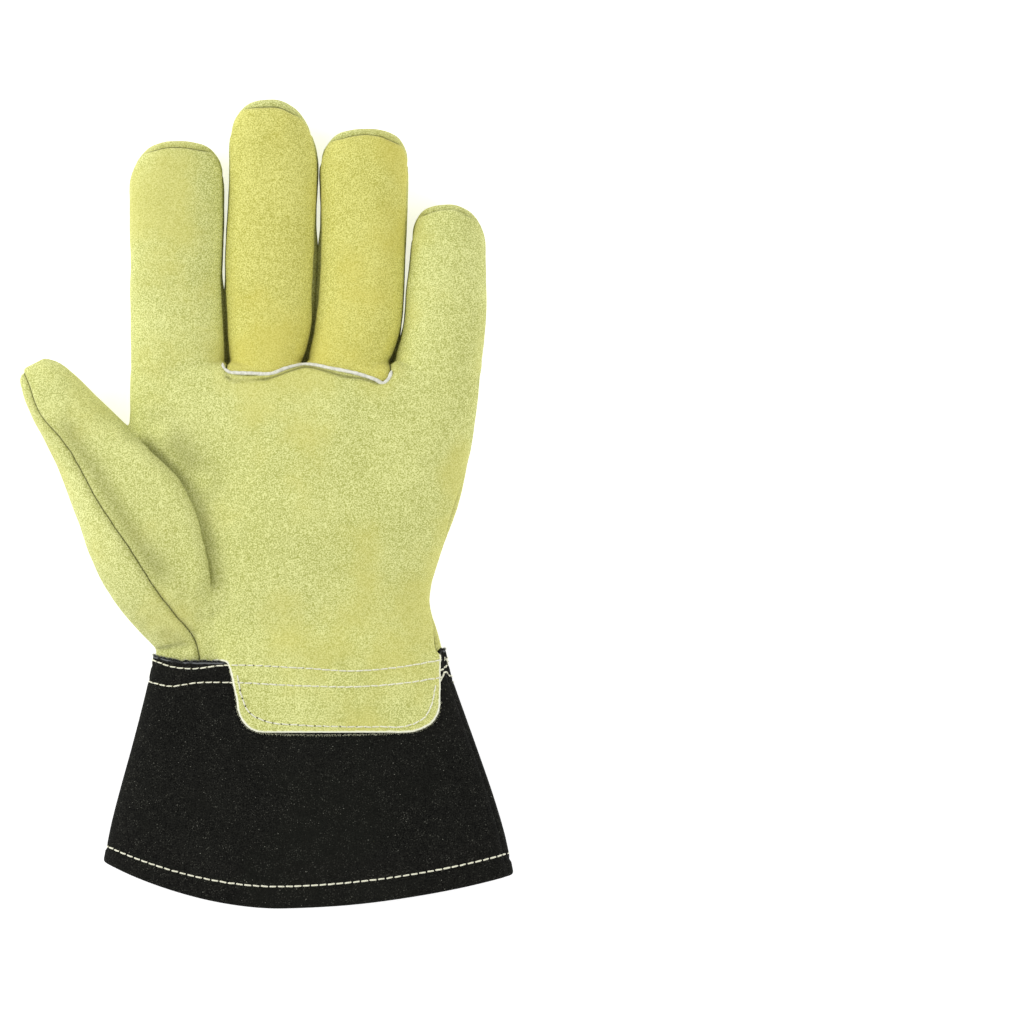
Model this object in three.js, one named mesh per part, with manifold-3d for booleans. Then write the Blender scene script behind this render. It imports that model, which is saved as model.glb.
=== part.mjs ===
// Split leather work glove for the left hand, lying palm up. +Y runs to the fingertips, the thumb
// lies towards -X and +Z is up. Lengths are in millimetres. The leather is a hollow wall that is
// cut along its seams into the pieces that it is sewn from.

import * as THREE from 'three';
import { mergeVertices } from 'three/addons/utils/BufferGeometryUtils.js';
import Module from 'manifold-3d';

// Leather and seams
const LEATHER = 1.3;
const SEAM_GAP = 0.3;
const WELT = 1.5;
const WELT_SINK = 0.3;

// Hand, from the cuff's upper edge to the forks of the fingers
const PALM_WIDTH = 126;
const PALM_LENGTH = 105;
const WRIST_WIDTH = 101;
const HAND_DEPTH = 33;

// Fingers
const INDEX_LENGTH = 80;
const MIDDLE_LENGTH = 94.8;
const RING_LENGTH = 85;
const LITTLE_LENGTH = 57.4;
const INDEX_WIDTH = 34.2;
const MIDDLE_WIDTH = 31.7;
const RING_WIDTH = 31.7;
const LITTLE_WIDTH = 28;
const FINGER_DEPTH = 21;
const FINGER_ROOT = 13;
const ROOT_INSET = 7;
const FINGER_LIFT = 0.06;
const FINGER_SINK = 0.03;
const TIP_ROUND = 17;
const TIP_CAP = 9;

// Thumb, which leans out from the wrist
const THUMB_LENGTH = 115;
const THUMB_WIDTH = 41;
const THUMB_DEPTH = 34;
const THUMB_LEAN = THREE.MathUtils.degToRad(29.6);
const THUMB_TWIST = THREE.MathUtils.degToRad(10);

// Cuff and the palm's tab over it
const CUFF_LENGTH = 90.4;
const CUFF_MOUTH_WIDTH = 147.5;
const CUFF_DEPTH = 31;
const CUFF_LAP = 12.6;
const HEM_BOW = 14;
const HEM_WIDTH = 7;
const PLEAT_STEP = 1.2;
const TAB_LENGTH = 28;
const TAB_WIDTH = 76;
const TAB_CORNER = 11;
const TAB_LEAN = 3;

// Gathers across the back of the wrist
const GATHER_HEIGHT = 16.5;
const GATHER_SPAN = 88;
const GATHER_DEPTH = 3.84;
const GATHER_WAVES = 9;
const GATHER_REACH = 21;
const GATHER_TROUGH = 0.35;
const GATHER_FADE = 0.3;

const LAP_CLEARANCE = 2.5 * SEAM_GAP;
const GRIP = 3 * LEATHER;
const FAR = 3 * (PALM_LENGTH + CUFF_LENGTH);

// Seam levels, as shares of the depths: fourchettes lie between the finger's two.
const FRONT_LEVEL = 0.68 * FINGER_DEPTH;
const BACK_LEVEL = 0.3 * FINGER_DEPTH;
const THUMB_LEVEL = 0.3 * THUMB_DEPTH;
const CUFF_LEVEL = 0.38 * CUFF_DEPTH;
const INDEX_WRAP = 5;

// Where a section is widest, as a share of its depth, and how square its sides are: 2 is an
// ellipse, and more is fuller. The hand grows squarer towards the knuckles.
const HAND_WIDEST = 0.4;
const LIMB_WIDEST = 0.45;
const HAND_FULLNESS = { left: 2.1, right: 2.5, knuckles: 3.4, below: 3.2 };
const LIMB_FULLNESS = { side: 2.3, below: 2.6, tip: 2.5 };
const CUFF_FULLNESS = { left: 2.2, right: 2.4, below: 3.8 };
const KNUCKLES_FROM = 0.6;
const KNUCKLES_OVER = 0.35;

// Points of a ring over and under the middle, on the outside and the inside of each tube.
const FINGER_OUTSIDE = { upper: 14, lower: 10 };
const FINGER_INSIDE = { upper: 8, lower: 8 };
const HAND_OUTSIDE = { upper: 20, lower: 36 };
const HAND_INSIDE = { upper: 16, lower: 12 };
const CUFF_OUTSIDE = { upper: 20, lower: 24 };
const CUFF_INSIDE = { upper: 16, lower: 12 };
const TAB_SIDES = { upper: 20, lower: 4 };

// Hand sections. along: share of PALM_LENGTH. aside: share of half the palm's width. wide: 0 is
// the wrist's width and 1 the palm's. low, top: shares of HAND_DEPTH.
const LAP_END = -CUFF_LAP / PALM_LENGTH;
const HAND_ROWS = [
  { along: LAP_END, aside: -0.028, wide: 0.0, low: 0.085, top: 0.74 },
  { along: 0, aside: -0.028, wide: 0.0, low: 0.085, top: 0.8 },
  { along: 0.08, aside: -0.06, wide: -0.02, low: 0.08, top: 0.86 },
  { along: 0.17, aside: -0.08, wide: -0.03, low: 0.08, top: 0.93 },
  { along: 0.34, aside: -0.08, wide: 0.24, low: 0.02, top: 0.98 },
  { along: 0.5, aside: -0.05, wide: 0.58, low: -0.02, top: 1 },
  { along: 0.66, aside: -0.028, wide: 0.8, low: -0.02, top: 0.97 },
  { along: 0.82, aside: -0.008, wide: 0.93, low: -0.02, top: 0.89 },
  { along: 0.94, aside: 0.004, wide: 0.99, low: -0.02, top: 0.795 },
  { along: 0.98, aside: 0.004, wide: 1, low: -0.02, top: 0.755 },
  { along: 1, aside: 0.004, wide: 1, low: -0.02, top: 0.69 },
];

// Shallow dents in the palm. across, along: place as shares of PALM_WIDTH and PALM_LENGTH.
// wide, long: reach as the same shares. deep: share of HAND_DEPTH.
const PALM_DENTS = [
  { across: -0.25, along: 0.62, wide: 0.12, long: 0.22, deep: 0.09 },
  { across: 0.16, along: 0.72, wide: 0.2, long: 0.12, deep: 0.04 },
  { across: 0.12, along: 0.22, wide: 0.16, long: 0.12, deep: 0.05 },
];

// Fingers, thumb side first. rows: centre as a share of PALM_WIDTH, width as a share of the
// finger's own width, along as a share of its length.
const FINGERS = [
  {
    name: 'index',
    length: INDEX_LENGTH,
    width: INDEX_WIDTH,
    rows: [
      { along: 0, centre: -0.3635, width: 0.985 },
      { along: 0.3, centre: -0.363, width: 0.985 },
      { along: 0.65, centre: -0.362, width: 1 },
      { along: 1, centre: -0.361, width: 1 },
    ],
  },
  {
    name: 'middle',
    length: MIDDLE_LENGTH,
    width: MIDDLE_WIDTH,
    rows: [
      { along: 0, centre: -0.112, width: 0.9 },
      { along: 0.3, centre: -0.091, width: 1.02 },
      { along: 0.65, centre: -0.089, width: 1 },
      { along: 1, centre: -0.089, width: 1 },
    ],
  },
  {
    name: 'ring',
    length: RING_LENGTH,
    width: RING_WIDTH,
    rows: [
      { along: 0, centre: 0.131, width: 0.96 },
      { along: 0.3, centre: 0.163, width: 0.92 },
      { along: 0.65, centre: 0.171, width: 0.99 },
      { along: 1, centre: 0.172, width: 1 },
    ],
  },
  {
    name: 'little',
    length: LITTLE_LENGTH,
    width: LITTLE_WIDTH,
    rows: [
      { along: 0, centre: 0.382, width: 1.09 },
      { along: 0.35, centre: 0.404, width: 1.03 },
      { along: 0.65, centre: 0.412, width: 1 },
      { along: 1, centre: 0.4165, width: 0.97 },
    ],
  },
];

// Depth of every finger. along: share of its length. deep: share of FINGER_DEPTH.
const FINGER_PROFILE = [
  { along: 0, deep: 1.15 },
  { along: 0.2, deep: 1.04 },
  { along: 0.5, deep: 1 },
  { along: 1, deep: 0.97 },
];

// Rounded end of a finger, by distance from its tip as shares of TIP_ROUND.
const TIP_STEPS = [1, 0.5, 0.2, 0.04];
const TIP_STEPS_INSIDE = [1, 0.4, 0.06];

// Thumb sections. along: share of THUMB_LENGTH. aside, half: shares of THUMB_WIDTH.
// low, top: shares of THUMB_DEPTH. turn: added twist of the section, in degrees.
const THUMB_ROWS = [
  { along: 0, aside: 0, half: 0.31, low: 0.1, top: 0.66, turn: 0 },
  { along: 0.146, aside: 0.096, half: 0.595, low: 0.11, top: 0.92, turn: 0 },
  { along: 0.308, aside: 0.11, half: 0.583, low: 0.1, top: 1.02, turn: 0 },
  { along: 0.469, aside: 0.169, half: 0.561, low: 0.1, top: 1.01, turn: 0 },
  { along: 0.602, aside: 0.139, half: 0.478, low: 0.09, top: 0.93, turn: 0 },
  { along: 0.724, aside: 0.065, half: 0.381, low: 0.08, top: 0.82, turn: 2 },
  { along: 0.835, aside: 0.021, half: 0.313, low: 0.09, top: 0.72, turn: 5 },
  { along: 0.93, aside: -0.002, half: 0.24, low: 0.13, top: 0.63, turn: 10 },
  { along: 0.98, aside: 0, half: 0.15, low: 0.2, top: 0.54, turn: 14 },
  { along: 1, aside: 0, half: 0.07, low: 0.28, top: 0.46, turn: 16 },
];

// Cuff sections, downwards. along: share of CUFF_LENGTH. spread: share of the way from the
// cuff's top width to its mouth. low, top: shares of CUFF_DEPTH.
const CUFF_ROWS = [
  { along: 0, spread: 0, low: -0.02, top: 0.93 },
  { along: 0.12, spread: 0.14, low: -0.02, top: 0.93 },
  { along: 0.27, spread: 0.3, low: -0.02, top: 0.92 },
  { along: 0.45, spread: 0.5, low: -0.02, top: 0.92 },
  { along: 0.64, spread: 0.71, low: -0.02, top: 0.94 },
  { along: 0.82, spread: 0.88, low: -0.02, top: 0.97 },
  { along: 1, spread: 1, low: -0.02, top: 1 },
];
const CUFF_SHIFT = 3.3;

// White welt over the middle and ring fingers, thumb side first. across: share of PALM_WIDTH.
// along: share of PALM_LENGTH.
const WELT_ROWS = [
  { across: -0.2265, along: 0.979 },
  { across: -0.15, along: 0.965 },
  { across: -0.075, along: 0.968 },
  { across: 0.005, along: 0.985 },
  { across: 0.075, along: 0.978 },
  { across: 0.15, along: 0.954 },
  { across: 0.21, along: 0.944 },
  { across: 0.256, along: 0.962 },
];

// Seam on the thumb's upper side, from its tip to the cuff, and the seam beneath it where the
// thumb's back meets the back of the hand. across: share of PALM_WIDTH. along: of PALM_LENGTH.
const THUMB_SEAM = [
  { across: -0.83, along: 1.02 },
  { across: -0.794, along: 0.943 },
  { across: -0.749, along: 0.816 },
  { across: -0.694, along: 0.741 },
  { across: -0.569, along: 0.494 },
  { across: -0.503, along: 0.384 },
  { across: -0.4, along: 0.192 },
  { across: -0.346, along: 0.113 },
  { across: -0.317, along: 0.069 },
  { across: -0.3, along: 0 },
  { across: -0.3, along: -0.2 },
];
const THUMB_UNDERSEAM = [
  { across: -0.63, along: 1.02 },
  { across: -0.54, along: 0.84 },
  { across: -0.4635, along: 0.686 },
  { across: -0.411, along: 0.274 },
  { across: -0.309, along: 0.171 },
  { across: -0.34, along: 0 },
  { across: -0.34, along: -0.2 },
];

// Fold of the cuff's back where it laps over the thumb side. Shares as above.
const PLEAT = [
  { across: -0.27, along: 0.02 },
  { across: -0.325, along: -0.223 },
  { across: -0.411, along: -0.36 },
  { across: -0.52, along: -0.42 },
  { across: -0.62, along: -0.44 },
];

const SUEDE = new THREE.MeshStandardMaterial({ color: 0xd2d588, roughness: 0.93, metalness: 0 });
const FRONT_SUEDE = new THREE.MeshStandardMaterial({ color: 0xd4d277, roughness: 0.93, metalness: 0 });
const CUFF_SUEDE = new THREE.MeshStandardMaterial({ color: 0x191917, roughness: 0.95, metalness: 0 });
const WELT_WHITE = new THREE.MeshStandardMaterial({ color: 0xefeee6, roughness: 0.6, metalness: 0 });

const wasm = await Module();
wasm.setup();

// Smooth curve through one column of a table, against its along column.
function curve(rows, column) {
  const places = rows.map((row) => row.along);
  const values = rows.map((row) => row[column]);
  const spline = new THREE.CubicInterpolant(places, values, 1);
  return (along) => spline.evaluate(along)[0];
}

function roundness(share, fullness) {
  return Math.pow(Math.max(0, 1 - Math.pow(Math.abs(share), fullness)), 1 / fullness);
}

function smooth(share) {
  return THREE.MathUtils.smoothstep(share, 0, 1);
}

// Point of a closed rounded outline that is widest at its middle level. share runs across it
// from -1 to 1, on the upper or the lower side.
function outlinePoint(section, share, above, wall) {
  const half = section.half - wall;
  const turn = section.turn ?? 0;
  const x = section.x + half * share * Math.cos(turn);
  const bow = section.bow ? section.bow(share, above) : 0;
  const y = section.y + half * share * Math.sin(turn) + bow;
  if (above) {
    const fullness = share < 0 ? section.leftFullness : section.rightFullness;
    const dent = section.dent ? section.dent(x, y) : 0;
    const rise = section.top - wall - section.middle;
    return new THREE.Vector3(x, y, section.middle + rise * roundness(share, fullness) - dent);
  }
  const drop = section.middle - section.low - wall;
  const plain = section.middle - drop * roundness(share, section.lowFullness);
  const floor = wall + (section.floor ? section.floor(x, y) : 0);
  return new THREE.Vector3(x, y, Math.max(plain, floor));
}

function ring(section, wall, steps) {
  const upper = Array.from({ length: steps.upper }, (_, i) => {
    return outlinePoint(section, Math.cos((Math.PI * i) / steps.upper), true, wall);
  });
  const lower = Array.from({ length: steps.lower }, (_, i) => {
    return outlinePoint(section, -Math.cos((Math.PI * i) / steps.lower), false, wall);
  });
  return [...upper, ...lower];
}

// Closed skin over a row of rings, with a fan over each end.
function loft(rings) {
  const count = rings[0].length;
  const points = rings.flat();
  const faces = [];
  for (let row = 0; row + 1 < rings.length; row += 1) {
    for (let i = 0; i < count; i += 1) {
      const a = row * count + i;
      const b = row * count + ((i + 1) % count);
      faces.push([a, b + count, b], [a, a + count, b + count]);
    }
  }
  const last = (rings.length - 1) * count;
  const middles = [rings[0], rings.at(-1)].map((loop) => {
    const sum = loop.reduce((total, point) => total.add(point), new THREE.Vector3());
    return points.push(sum.divideScalar(count)) - 1;
  });
  for (let i = 0; i < count; i += 1) {
    const next = (i + 1) % count;
    faces.push([middles[0], i, next], [middles[1], last + next, last + i]);
  }
  const geometry = new THREE.BufferGeometry().setFromPoints(points);
  geometry.setIndex(faces.flat());
  return solid(geometry);
}

function solid(geometry) {
  const bare = geometry.clone();
  bare.deleteAttribute('normal');
  bare.deleteAttribute('uv');
  const merged = mergeVertices(bare, 1e-4);
  const mesh = new wasm.Mesh({
    numProp: 3,
    vertProperties: new Float32Array(merged.attributes.position.array),
    triVerts: new Uint32Array(merged.index.array),
  });
  return new wasm.Manifold(mesh);
}

// Prism over an outline in the XY plane, between two levels.
function prism(outline, low, high) {
  const shape = outline instanceof THREE.Shape ? outline : new THREE.Shape(outline);
  const geometry = new THREE.ExtrudeGeometry(shape, { depth: high - low, bevelEnabled: false });
  geometry.translate(0, 0, low);
  return solid(geometry);
}

function biggest(pieces) {
  return pieces.decompose().sort((a, b) => b.volume() - a.volume())[0];
}

function plan(row, shift = 0) {
  return new THREE.Vector2(row.across * PALM_WIDTH + shift, row.along * PALM_LENGTH);
}

// How far an elastic draws the back of the wrist up, at the crests of its ripples.
function gatherCrest(x, y) {
  const reach = (y - GATHER_HEIGHT) / GATHER_REACH;
  const aside = Math.abs(x) / (GATHER_SPAN / 2);
  const fade = 1 - smooth((aside - 1) / GATHER_FADE + 0.5);
  return GATHER_DEPTH * Math.exp(-reach * reach) * fade;
}

function gathers(x, y) {
  const wave = 0.5 + 0.5 * Math.cos((2 * Math.PI * GATHER_WAVES * x) / GATHER_SPAN);
  return gatherCrest(x, y) * THREE.MathUtils.lerp(GATHER_TROUGH, 1, wave);
}

function palmDent(x, y) {
  return PALM_DENTS.reduce((deep, dent) => {
    const across = (x / PALM_WIDTH - dent.across) / dent.wide;
    const along = (y / PALM_LENGTH - dent.along) / dent.long;
    return deep + HAND_DEPTH * dent.deep * Math.exp(-across * across - along * along);
  }, 0);
}

const handCurves = Object.fromEntries(
  ['aside', 'wide', 'low', 'top'].map((column) => [column, curve(HAND_ROWS, column)]),
);

function handSection(along) {
  const wide = handCurves.wide(along);
  const square = smooth((along - KNUCKLES_FROM) / KNUCKLES_OVER);
  const { left, right, knuckles, below } = HAND_FULLNESS;
  return {
    x: (handCurves.aside(along) * PALM_WIDTH) / 2,
    y: along * PALM_LENGTH,
    half: THREE.MathUtils.lerp(WRIST_WIDTH, PALM_WIDTH, wide) / 2,
    low: handCurves.low(along) * HAND_DEPTH,
    middle: HAND_WIDEST * HAND_DEPTH * handCurves.top(along),
    top: handCurves.top(along) * HAND_DEPTH,
    leftFullness: THREE.MathUtils.lerp(left, knuckles, square),
    rightFullness: THREE.MathUtils.lerp(right, knuckles, square),
    lowFullness: below,
    dent: palmDent,
  };
}

function hand(wall) {
  const inside = wall > 0;
  const fine = [LAP_END, 0, 0.06, 0.12, 0.17, 0.23, 0.3, 0.4, 0.52, 0.66, 0.8, 0.92, 0.98, 1];
  const coarse = [LAP_END, 0, 0.1, 0.2, 0.34, 0.55, 0.78, 0.94, 1];
  const rings = (inside ? coarse : fine).map((along) => {
    const section = handSection(along);
    if (along > 0) section.floor = inside ? gatherCrest : gathers;
    if (along === 1) section.y -= wall;
    if (along < 0 && inside) section.y -= GRIP;
    return ring(section, wall, inside ? HAND_INSIDE : HAND_OUTSIDE);
  });
  return loft(rings);
}

// Height of the palm's upper side.
function palmTop(x, y) {
  const section = handSection(y / PALM_LENGTH);
  const share = THREE.MathUtils.clamp((x - section.x) / section.half, -1, 1);
  return outlinePoint(section, share, true, 0).z;
}

function fingerEdges(finger, along) {
  const centre = curve(finger.rows, 'centre')(along) * PALM_WIDTH;
  const half = (curve(finger.rows, 'width')(along) * finger.width) / 2;
  return { centre, half };
}

function fingerTube(finger, wall) {
  const deep = curve(FINGER_PROFILE, 'deep');
  const length = finger.length - wall;
  const inside = wall > 0;
  const root = FINGER_ROOT / length;
  const places = inside ? [-root, 0, 0.2, 0.45] : [-root, -0.5 * root, 0, 0.16, 0.4];
  const body = places.map((along) => ({ along, full: 1 }));
  const tip = (inside ? TIP_STEPS_INSIDE : TIP_STEPS).map((step) => ({
    along: 1 - (step * TIP_ROUND) / length,
    full: roundness(1 - step, LIMB_FULLNESS.tip),
  }));
  const rings = [...body, ...tip].map(({ along, full }) => {
    const { centre, half } = fingerEdges(finger, Math.max(along, 0));
    const tall = deep(Math.max(along, 0)) * FINGER_DEPTH;
    const middle = LIMB_WIDEST * tall;
    const inset = ROOT_INSET * (along / root) ** 2 * (along < 0 ? 1 : 0);
    const shrink = full * (1 - wall / half);
    const section = {
      x: centre,
      y: PALM_LENGTH + along * length,
      half: (half - inset) * shrink,
      low: middle - (middle + FINGER_SINK * tall - wall) * full,
      middle,
      top: middle + (tall - middle - wall - inset) * full,
      leftFullness: LIMB_FULLNESS.side,
      rightFullness: LIMB_FULLNESS.side,
      lowFullness: LIMB_FULLNESS.below,
      floor: () => wall + FINGER_LIFT,
    };
    return ring(section, 0, inside ? FINGER_INSIDE : FINGER_OUTSIDE);
  });
  return loft(rings);
}

const thumbCurves = Object.fromEntries(
  ['aside', 'half', 'low', 'top', 'turn'].map((column) => [column, curve(THUMB_ROWS, column)]),
);
const THUMB_FOOT = new THREE.Vector2(-0.311 * PALM_WIDTH, 0.05 * PALM_LENGTH);

function thumbSection(along, wall) {
  const ahead = new THREE.Vector2(-Math.sin(THUMB_LEAN), Math.cos(THUMB_LEAN));
  const sideways = new THREE.Vector2(ahead.y, -ahead.x);
  const place = THUMB_FOOT.clone();
  place.addScaledVector(ahead, along * (THUMB_LENGTH - wall));
  place.addScaledVector(sideways, thumbCurves.aside(along) * THUMB_WIDTH);
  const low = thumbCurves.low(along) * THUMB_DEPTH;
  const top = thumbCurves.top(along) * THUMB_DEPTH;
  const half = thumbCurves.half(along) * THUMB_WIDTH;
  return {
    x: place.x,
    y: place.y,
    turn: THUMB_TWIST + THREE.MathUtils.degToRad(thumbCurves.turn(along)),
    half: Math.max(half - wall, 0.3 * half),
    low: Math.min(low + wall, THREE.MathUtils.lerp(low, top, 0.4)),
    middle: THREE.MathUtils.lerp(low, top, LIMB_WIDEST),
    top: Math.max(top - wall, THREE.MathUtils.lerp(low, top, 0.55)),
    leftFullness: LIMB_FULLNESS.side,
    rightFullness: LIMB_FULLNESS.side,
    lowFullness: LIMB_FULLNESS.below,
    floor: () => wall,
  };
}

function thumb(wall) {
  const fine = [0, 0.09, 0.19, 0.31, 0.45, 0.58, 0.71, 0.83, 0.93, 0.98, 1];
  const coarse = [0, 0.14, 0.31, 0.47, 0.64, 0.82, 0.94, 1];
  const places = wall > 0 ? coarse : fine;
  const steps = wall > 0 ? FINGER_INSIDE : FINGER_OUTSIDE;
  return loft(places.map((along) => ring(thumbSection(along, wall), 0, steps)));
}

// Cuff, whose rings bow more and more towards the curved hem. grow pushes its skin outwards.
const cuffCurves = Object.fromEntries(
  ['spread', 'low', 'top'].map((column) => [column, curve(CUFF_ROWS, column)]),
);
const CUFF_TOP_WIDTH = WRIST_WIDTH + 2 * (LEATHER + LAP_CLEARANCE);

function pleatFloor(x, y) {
  const edge = PLEAT.map((row) => plan(row));
  const next = edge.findIndex((point) => point.y <= y);
  if (next < 1) return 0;
  const [from, to] = [edge[next - 1], edge[next]];
  const border = THREE.MathUtils.mapLinear(y, from.y, to.y, from.x, to.x);
  return PLEAT_STEP * smooth((border - x) / (2 * LEATHER));
}

function cuffSection(along, grow) {
  const spread = cuffCurves.spread(along);
  const share = Math.min(along, 1);
  return {
    x: handSection(0).x + CUFF_SHIFT * spread,
    y: -along * CUFF_LENGTH,
    half: THREE.MathUtils.lerp(CUFF_TOP_WIDTH, CUFF_MOUTH_WIDTH, spread) / 2 + grow,
    low: cuffCurves.low(along) * CUFF_DEPTH,
    middle: CUFF_LEVEL,
    top: cuffCurves.top(along) * CUFF_DEPTH + grow,
    leftFullness: CUFF_FULLNESS.left,
    rightFullness: CUFF_FULLNESS.right,
    lowFullness: CUFF_FULLNESS.below,
    bow: (across, above) => (above ? HEM_BOW : 0.75 * HEM_BOW) * share * across * across,
    floor: grow === 0 ? pleatFloor : undefined,
  };
}

function cuffTube() {
  const outer = [0, 0.1, 0.22, 0.34, 0.45, 0.6, 0.8, 1];
  const outside = loft(outer.map((along) => ring(cuffSection(along, 0), 0, CUFF_OUTSIDE)).reverse());
  const hem = 1 - HEM_WIDTH / CUFF_LENGTH;
  const inner = [-0.05, 0, 0.3, 0.62, hem, hem + 0.001, 1, 1.1];
  const inside = loft(inner.map((along) => {
    const wall = along > hem ? 2 * LEATHER : LEATHER;
    const section = cuffSection(THREE.MathUtils.clamp(along, 0, 1), 0);
    section.floor = () => 0.5 * PLEAT_STEP;
    section.y = -along * CUFF_LENGTH;
    return ring(section, wall, CUFF_INSIDE);
  }).reverse());
  return outside.subtract(inside);
}

// Layer of leather that leaves the palm and lies on the cuff, a little past the tab's end.
function tabLayer() {
  const places = [0, 0.3, 0.65, 1.1].map((share) => (share * TAB_LENGTH) / CUFF_LENGTH);
  const rise = [
    { y: 2.6 * GRIP, lift: -0.4 * LEATHER },
    { y: GRIP, lift: 0.2 * LEATHER },
    { y: 2 * SEAM_GAP, lift: LEATHER + LAP_CLEARANCE + SEAM_GAP },
  ];
  const rings = (extra) => [
    ...rise.map(({ y, lift }) => {
      const section = handSection(y / PALM_LENGTH);
      section.half += lift + extra;
      section.top += lift + extra;
      section.floor = undefined;
      return ring(section, 0, TAB_SIDES);
    }),
    ...places.map((along) => {
      return ring(cuffSection(along, SEAM_GAP + extra), 0, TAB_SIDES);
    }),
  ].reverse();
  return loft(rings(LEATHER)).subtract(loft(rings(0)));
}

function tabOutline() {
  const left = -0.21 * PALM_WIDTH;
  const right = left + TAB_WIDTH;
  const foot = left + TAB_LEAN;
  const outline = new THREE.Shape();
  outline.moveTo(left, 2 * GRIP);
  outline.lineTo(foot, TAB_CORNER - TAB_LENGTH);
  outline.quadraticCurveTo(foot, -TAB_LENGTH, foot + TAB_CORNER, -TAB_LENGTH);
  outline.lineTo(right - TAB_CORNER, -TAB_LENGTH);
  outline.quadraticCurveTo(right, -TAB_LENGTH, right, TAB_CORNER - TAB_LENGTH);
  outline.lineTo(right, 2 * GRIP);
  return new THREE.Shape(outline.getPoints(5));
}

// Middle of the gap between a finger and the next one, at a height above the forks.
function laneEdge(index, above) {
  const [near, far] = [FINGERS[index], FINGERS[index + 1]];
  const a = fingerEdges(near, Math.min(above / near.length, 1));
  const b = fingerEdges(far, Math.min(above / far.length, 1));
  return (a.centre + a.half + b.centre - b.half) / 2;
}

const LANE_HEIGHTS = [-0.12, 0, 0.12, 0.3, 0.5, 0.8, 1.2].map((share) => share * RING_LENGTH);

function laneLine(index, from, to, shift = 0) {
  const inside = LANE_HEIGHTS.filter((height) => height > from && height < to);
  return [from, ...inside, to].map((height) => {
    return new THREE.Vector2(laneEdge(index, Math.max(height, 0)) + shift, PALM_LENGTH + height);
  });
}

// U-shaped strip between two fingers, one leg along each.
function fourchetteRegion(index, grow) {
  const near = FINGERS[index];
  const far = FINGERS[index + 1];
  const start = -4 * LEATHER - grow;
  const ends = [near, far].map((finger) => finger.length - TIP_CAP + grow);
  const [low, high] = [BACK_LEVEL - grow, FRONT_LEVEL + grow];
  const leg = (finger, end) => {
    const centre = fingerEdges(finger, 0.5).centre;
    const line = laneLine(index, start, end);
    return prism([new THREE.Vector2(centre, PALM_LENGTH + start), ...line,
      new THREE.Vector2(centre, PALM_LENGTH + end)], low, high);
  };
  return leg(near, ends[0]).add(leg(far, ends[1]));
}

function weltPoints() {
  const rows = WELT_ROWS.map((row) => plan(row));
  const path = new THREE.CatmullRomCurve3(rows.map((point) => new THREE.Vector3(point.x, point.y, 0)));
  return path.getPoints(24).map((point) => point.setZ(palmTop(point.x, point.y) - WELT_SINK * WELT));
}

// Upper side of a middle finger, above the welt.
function frontRegion(index, grow) {
  const welt = weltPoints();
  const top = Math.max(...FINGERS.map((finger) => finger.length)) + TIP_ROUND;
  const left = laneLine(index - 1, 0, top, -grow);
  const right = laneLine(index, 0, top, grow);
  const [from, to] = [left[0].x, right[0].x];
  const foot = welt.filter((point) => point.x > from + grow && point.x < to - grow);
  const base = foot.map((point) => new THREE.Vector2(point.x, point.y - grow));
  const corners = [new THREE.Vector2(from, base[0].y), new THREE.Vector2(to, base.at(-1).y)];
  const outline = [corners[0], ...base, corners[1], ...right.slice(1), ...left.slice(1).reverse()];
  return prism(outline, FRONT_LEVEL - grow, FAR);
}

function weltTube(thick) {
  const path = new THREE.CatmullRomCurve3(weltPoints());
  const section = new THREE.Shape();
  section.absarc(0, 0, thick / 2, 0, 2 * Math.PI);
  const extruded = new THREE.ExtrudeGeometry(section, {
    steps: 22,
    curveSegments: 3,
    bevelEnabled: false,
    extrudePath: path,
  });
  return solid(extruded);
}

// Everything on the thumb side of a seam that is drawn in plan.
function besideSeam(rows, grow, low, high) {
  const line = rows.map((row) => plan(row, grow));
  const outline = [new THREE.Vector2(-FAR, line[0].y), ...line, new THREE.Vector2(-FAR, line.at(-1).y)];
  return prism(outline, low, high);
}

function thumbBackRegion(grow) {
  return besideSeam(THUMB_SEAM, grow, -FAR, FAR)
    .add(besideSeam(THUMB_UNDERSEAM, grow, -FAR, THUMB_LEVEL + grow));
}

function backRegion(grow) {
  const wrap = -PALM_WIDTH / 2 + INDEX_WRAP - grow;
  const littleCentre = fingerEdges(FINGERS[3], 0).centre;
  const slab = (left, right, from, to, level) => prism([
    new THREE.Vector2(left, from),
    new THREE.Vector2(right, from),
    new THREE.Vector2(right, to),
    new THREE.Vector2(left, to),
  ], -FAR, level + grow);
  const parts = [
    slab(wrap, FAR, -FAR, FAR, BACK_LEVEL),
    slab(littleCentre, FAR, -FAR, FAR, FRONT_LEVEL),
  ];
  FINGERS.forEach((finger, index) => {
    const middle = fingerEdges(finger, 1);
    const foot = PALM_LENGTH + finger.length - TIP_CAP - grow;
    const reach = middle.half + SEAM_GAP;
    parts.push(slab(middle.centre - reach, middle.centre + reach, foot, FAR, FRONT_LEVEL));
  });
  return parts.reduce((whole, part) => whole.add(part));
}

function mesh(name, body, material) {
  const { vertProperties, triVerts } = body.getMesh();
  const geometry = new THREE.BufferGeometry();
  geometry.setAttribute('position', new THREE.BufferAttribute(new Float32Array(vertProperties), 3));
  geometry.setIndex(new THREE.BufferAttribute(new Uint32Array(triVerts), 1));
  geometry.computeVertexNormals();
  const piece = new THREE.Mesh(geometry, material);
  piece.name = name;
  return piece;
}

// Hollow leather skin of the hand, before it is cut into its pieces.
function handShell() {
  const tubes = (wall) => FINGERS.map((finger) => fingerTube(finger, wall))
    .reduce((whole, finger) => whole.add(finger), hand(wall).add(thumb(wall)));
  return tubes(0).subtract(tubes(LEATHER));
}

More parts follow.
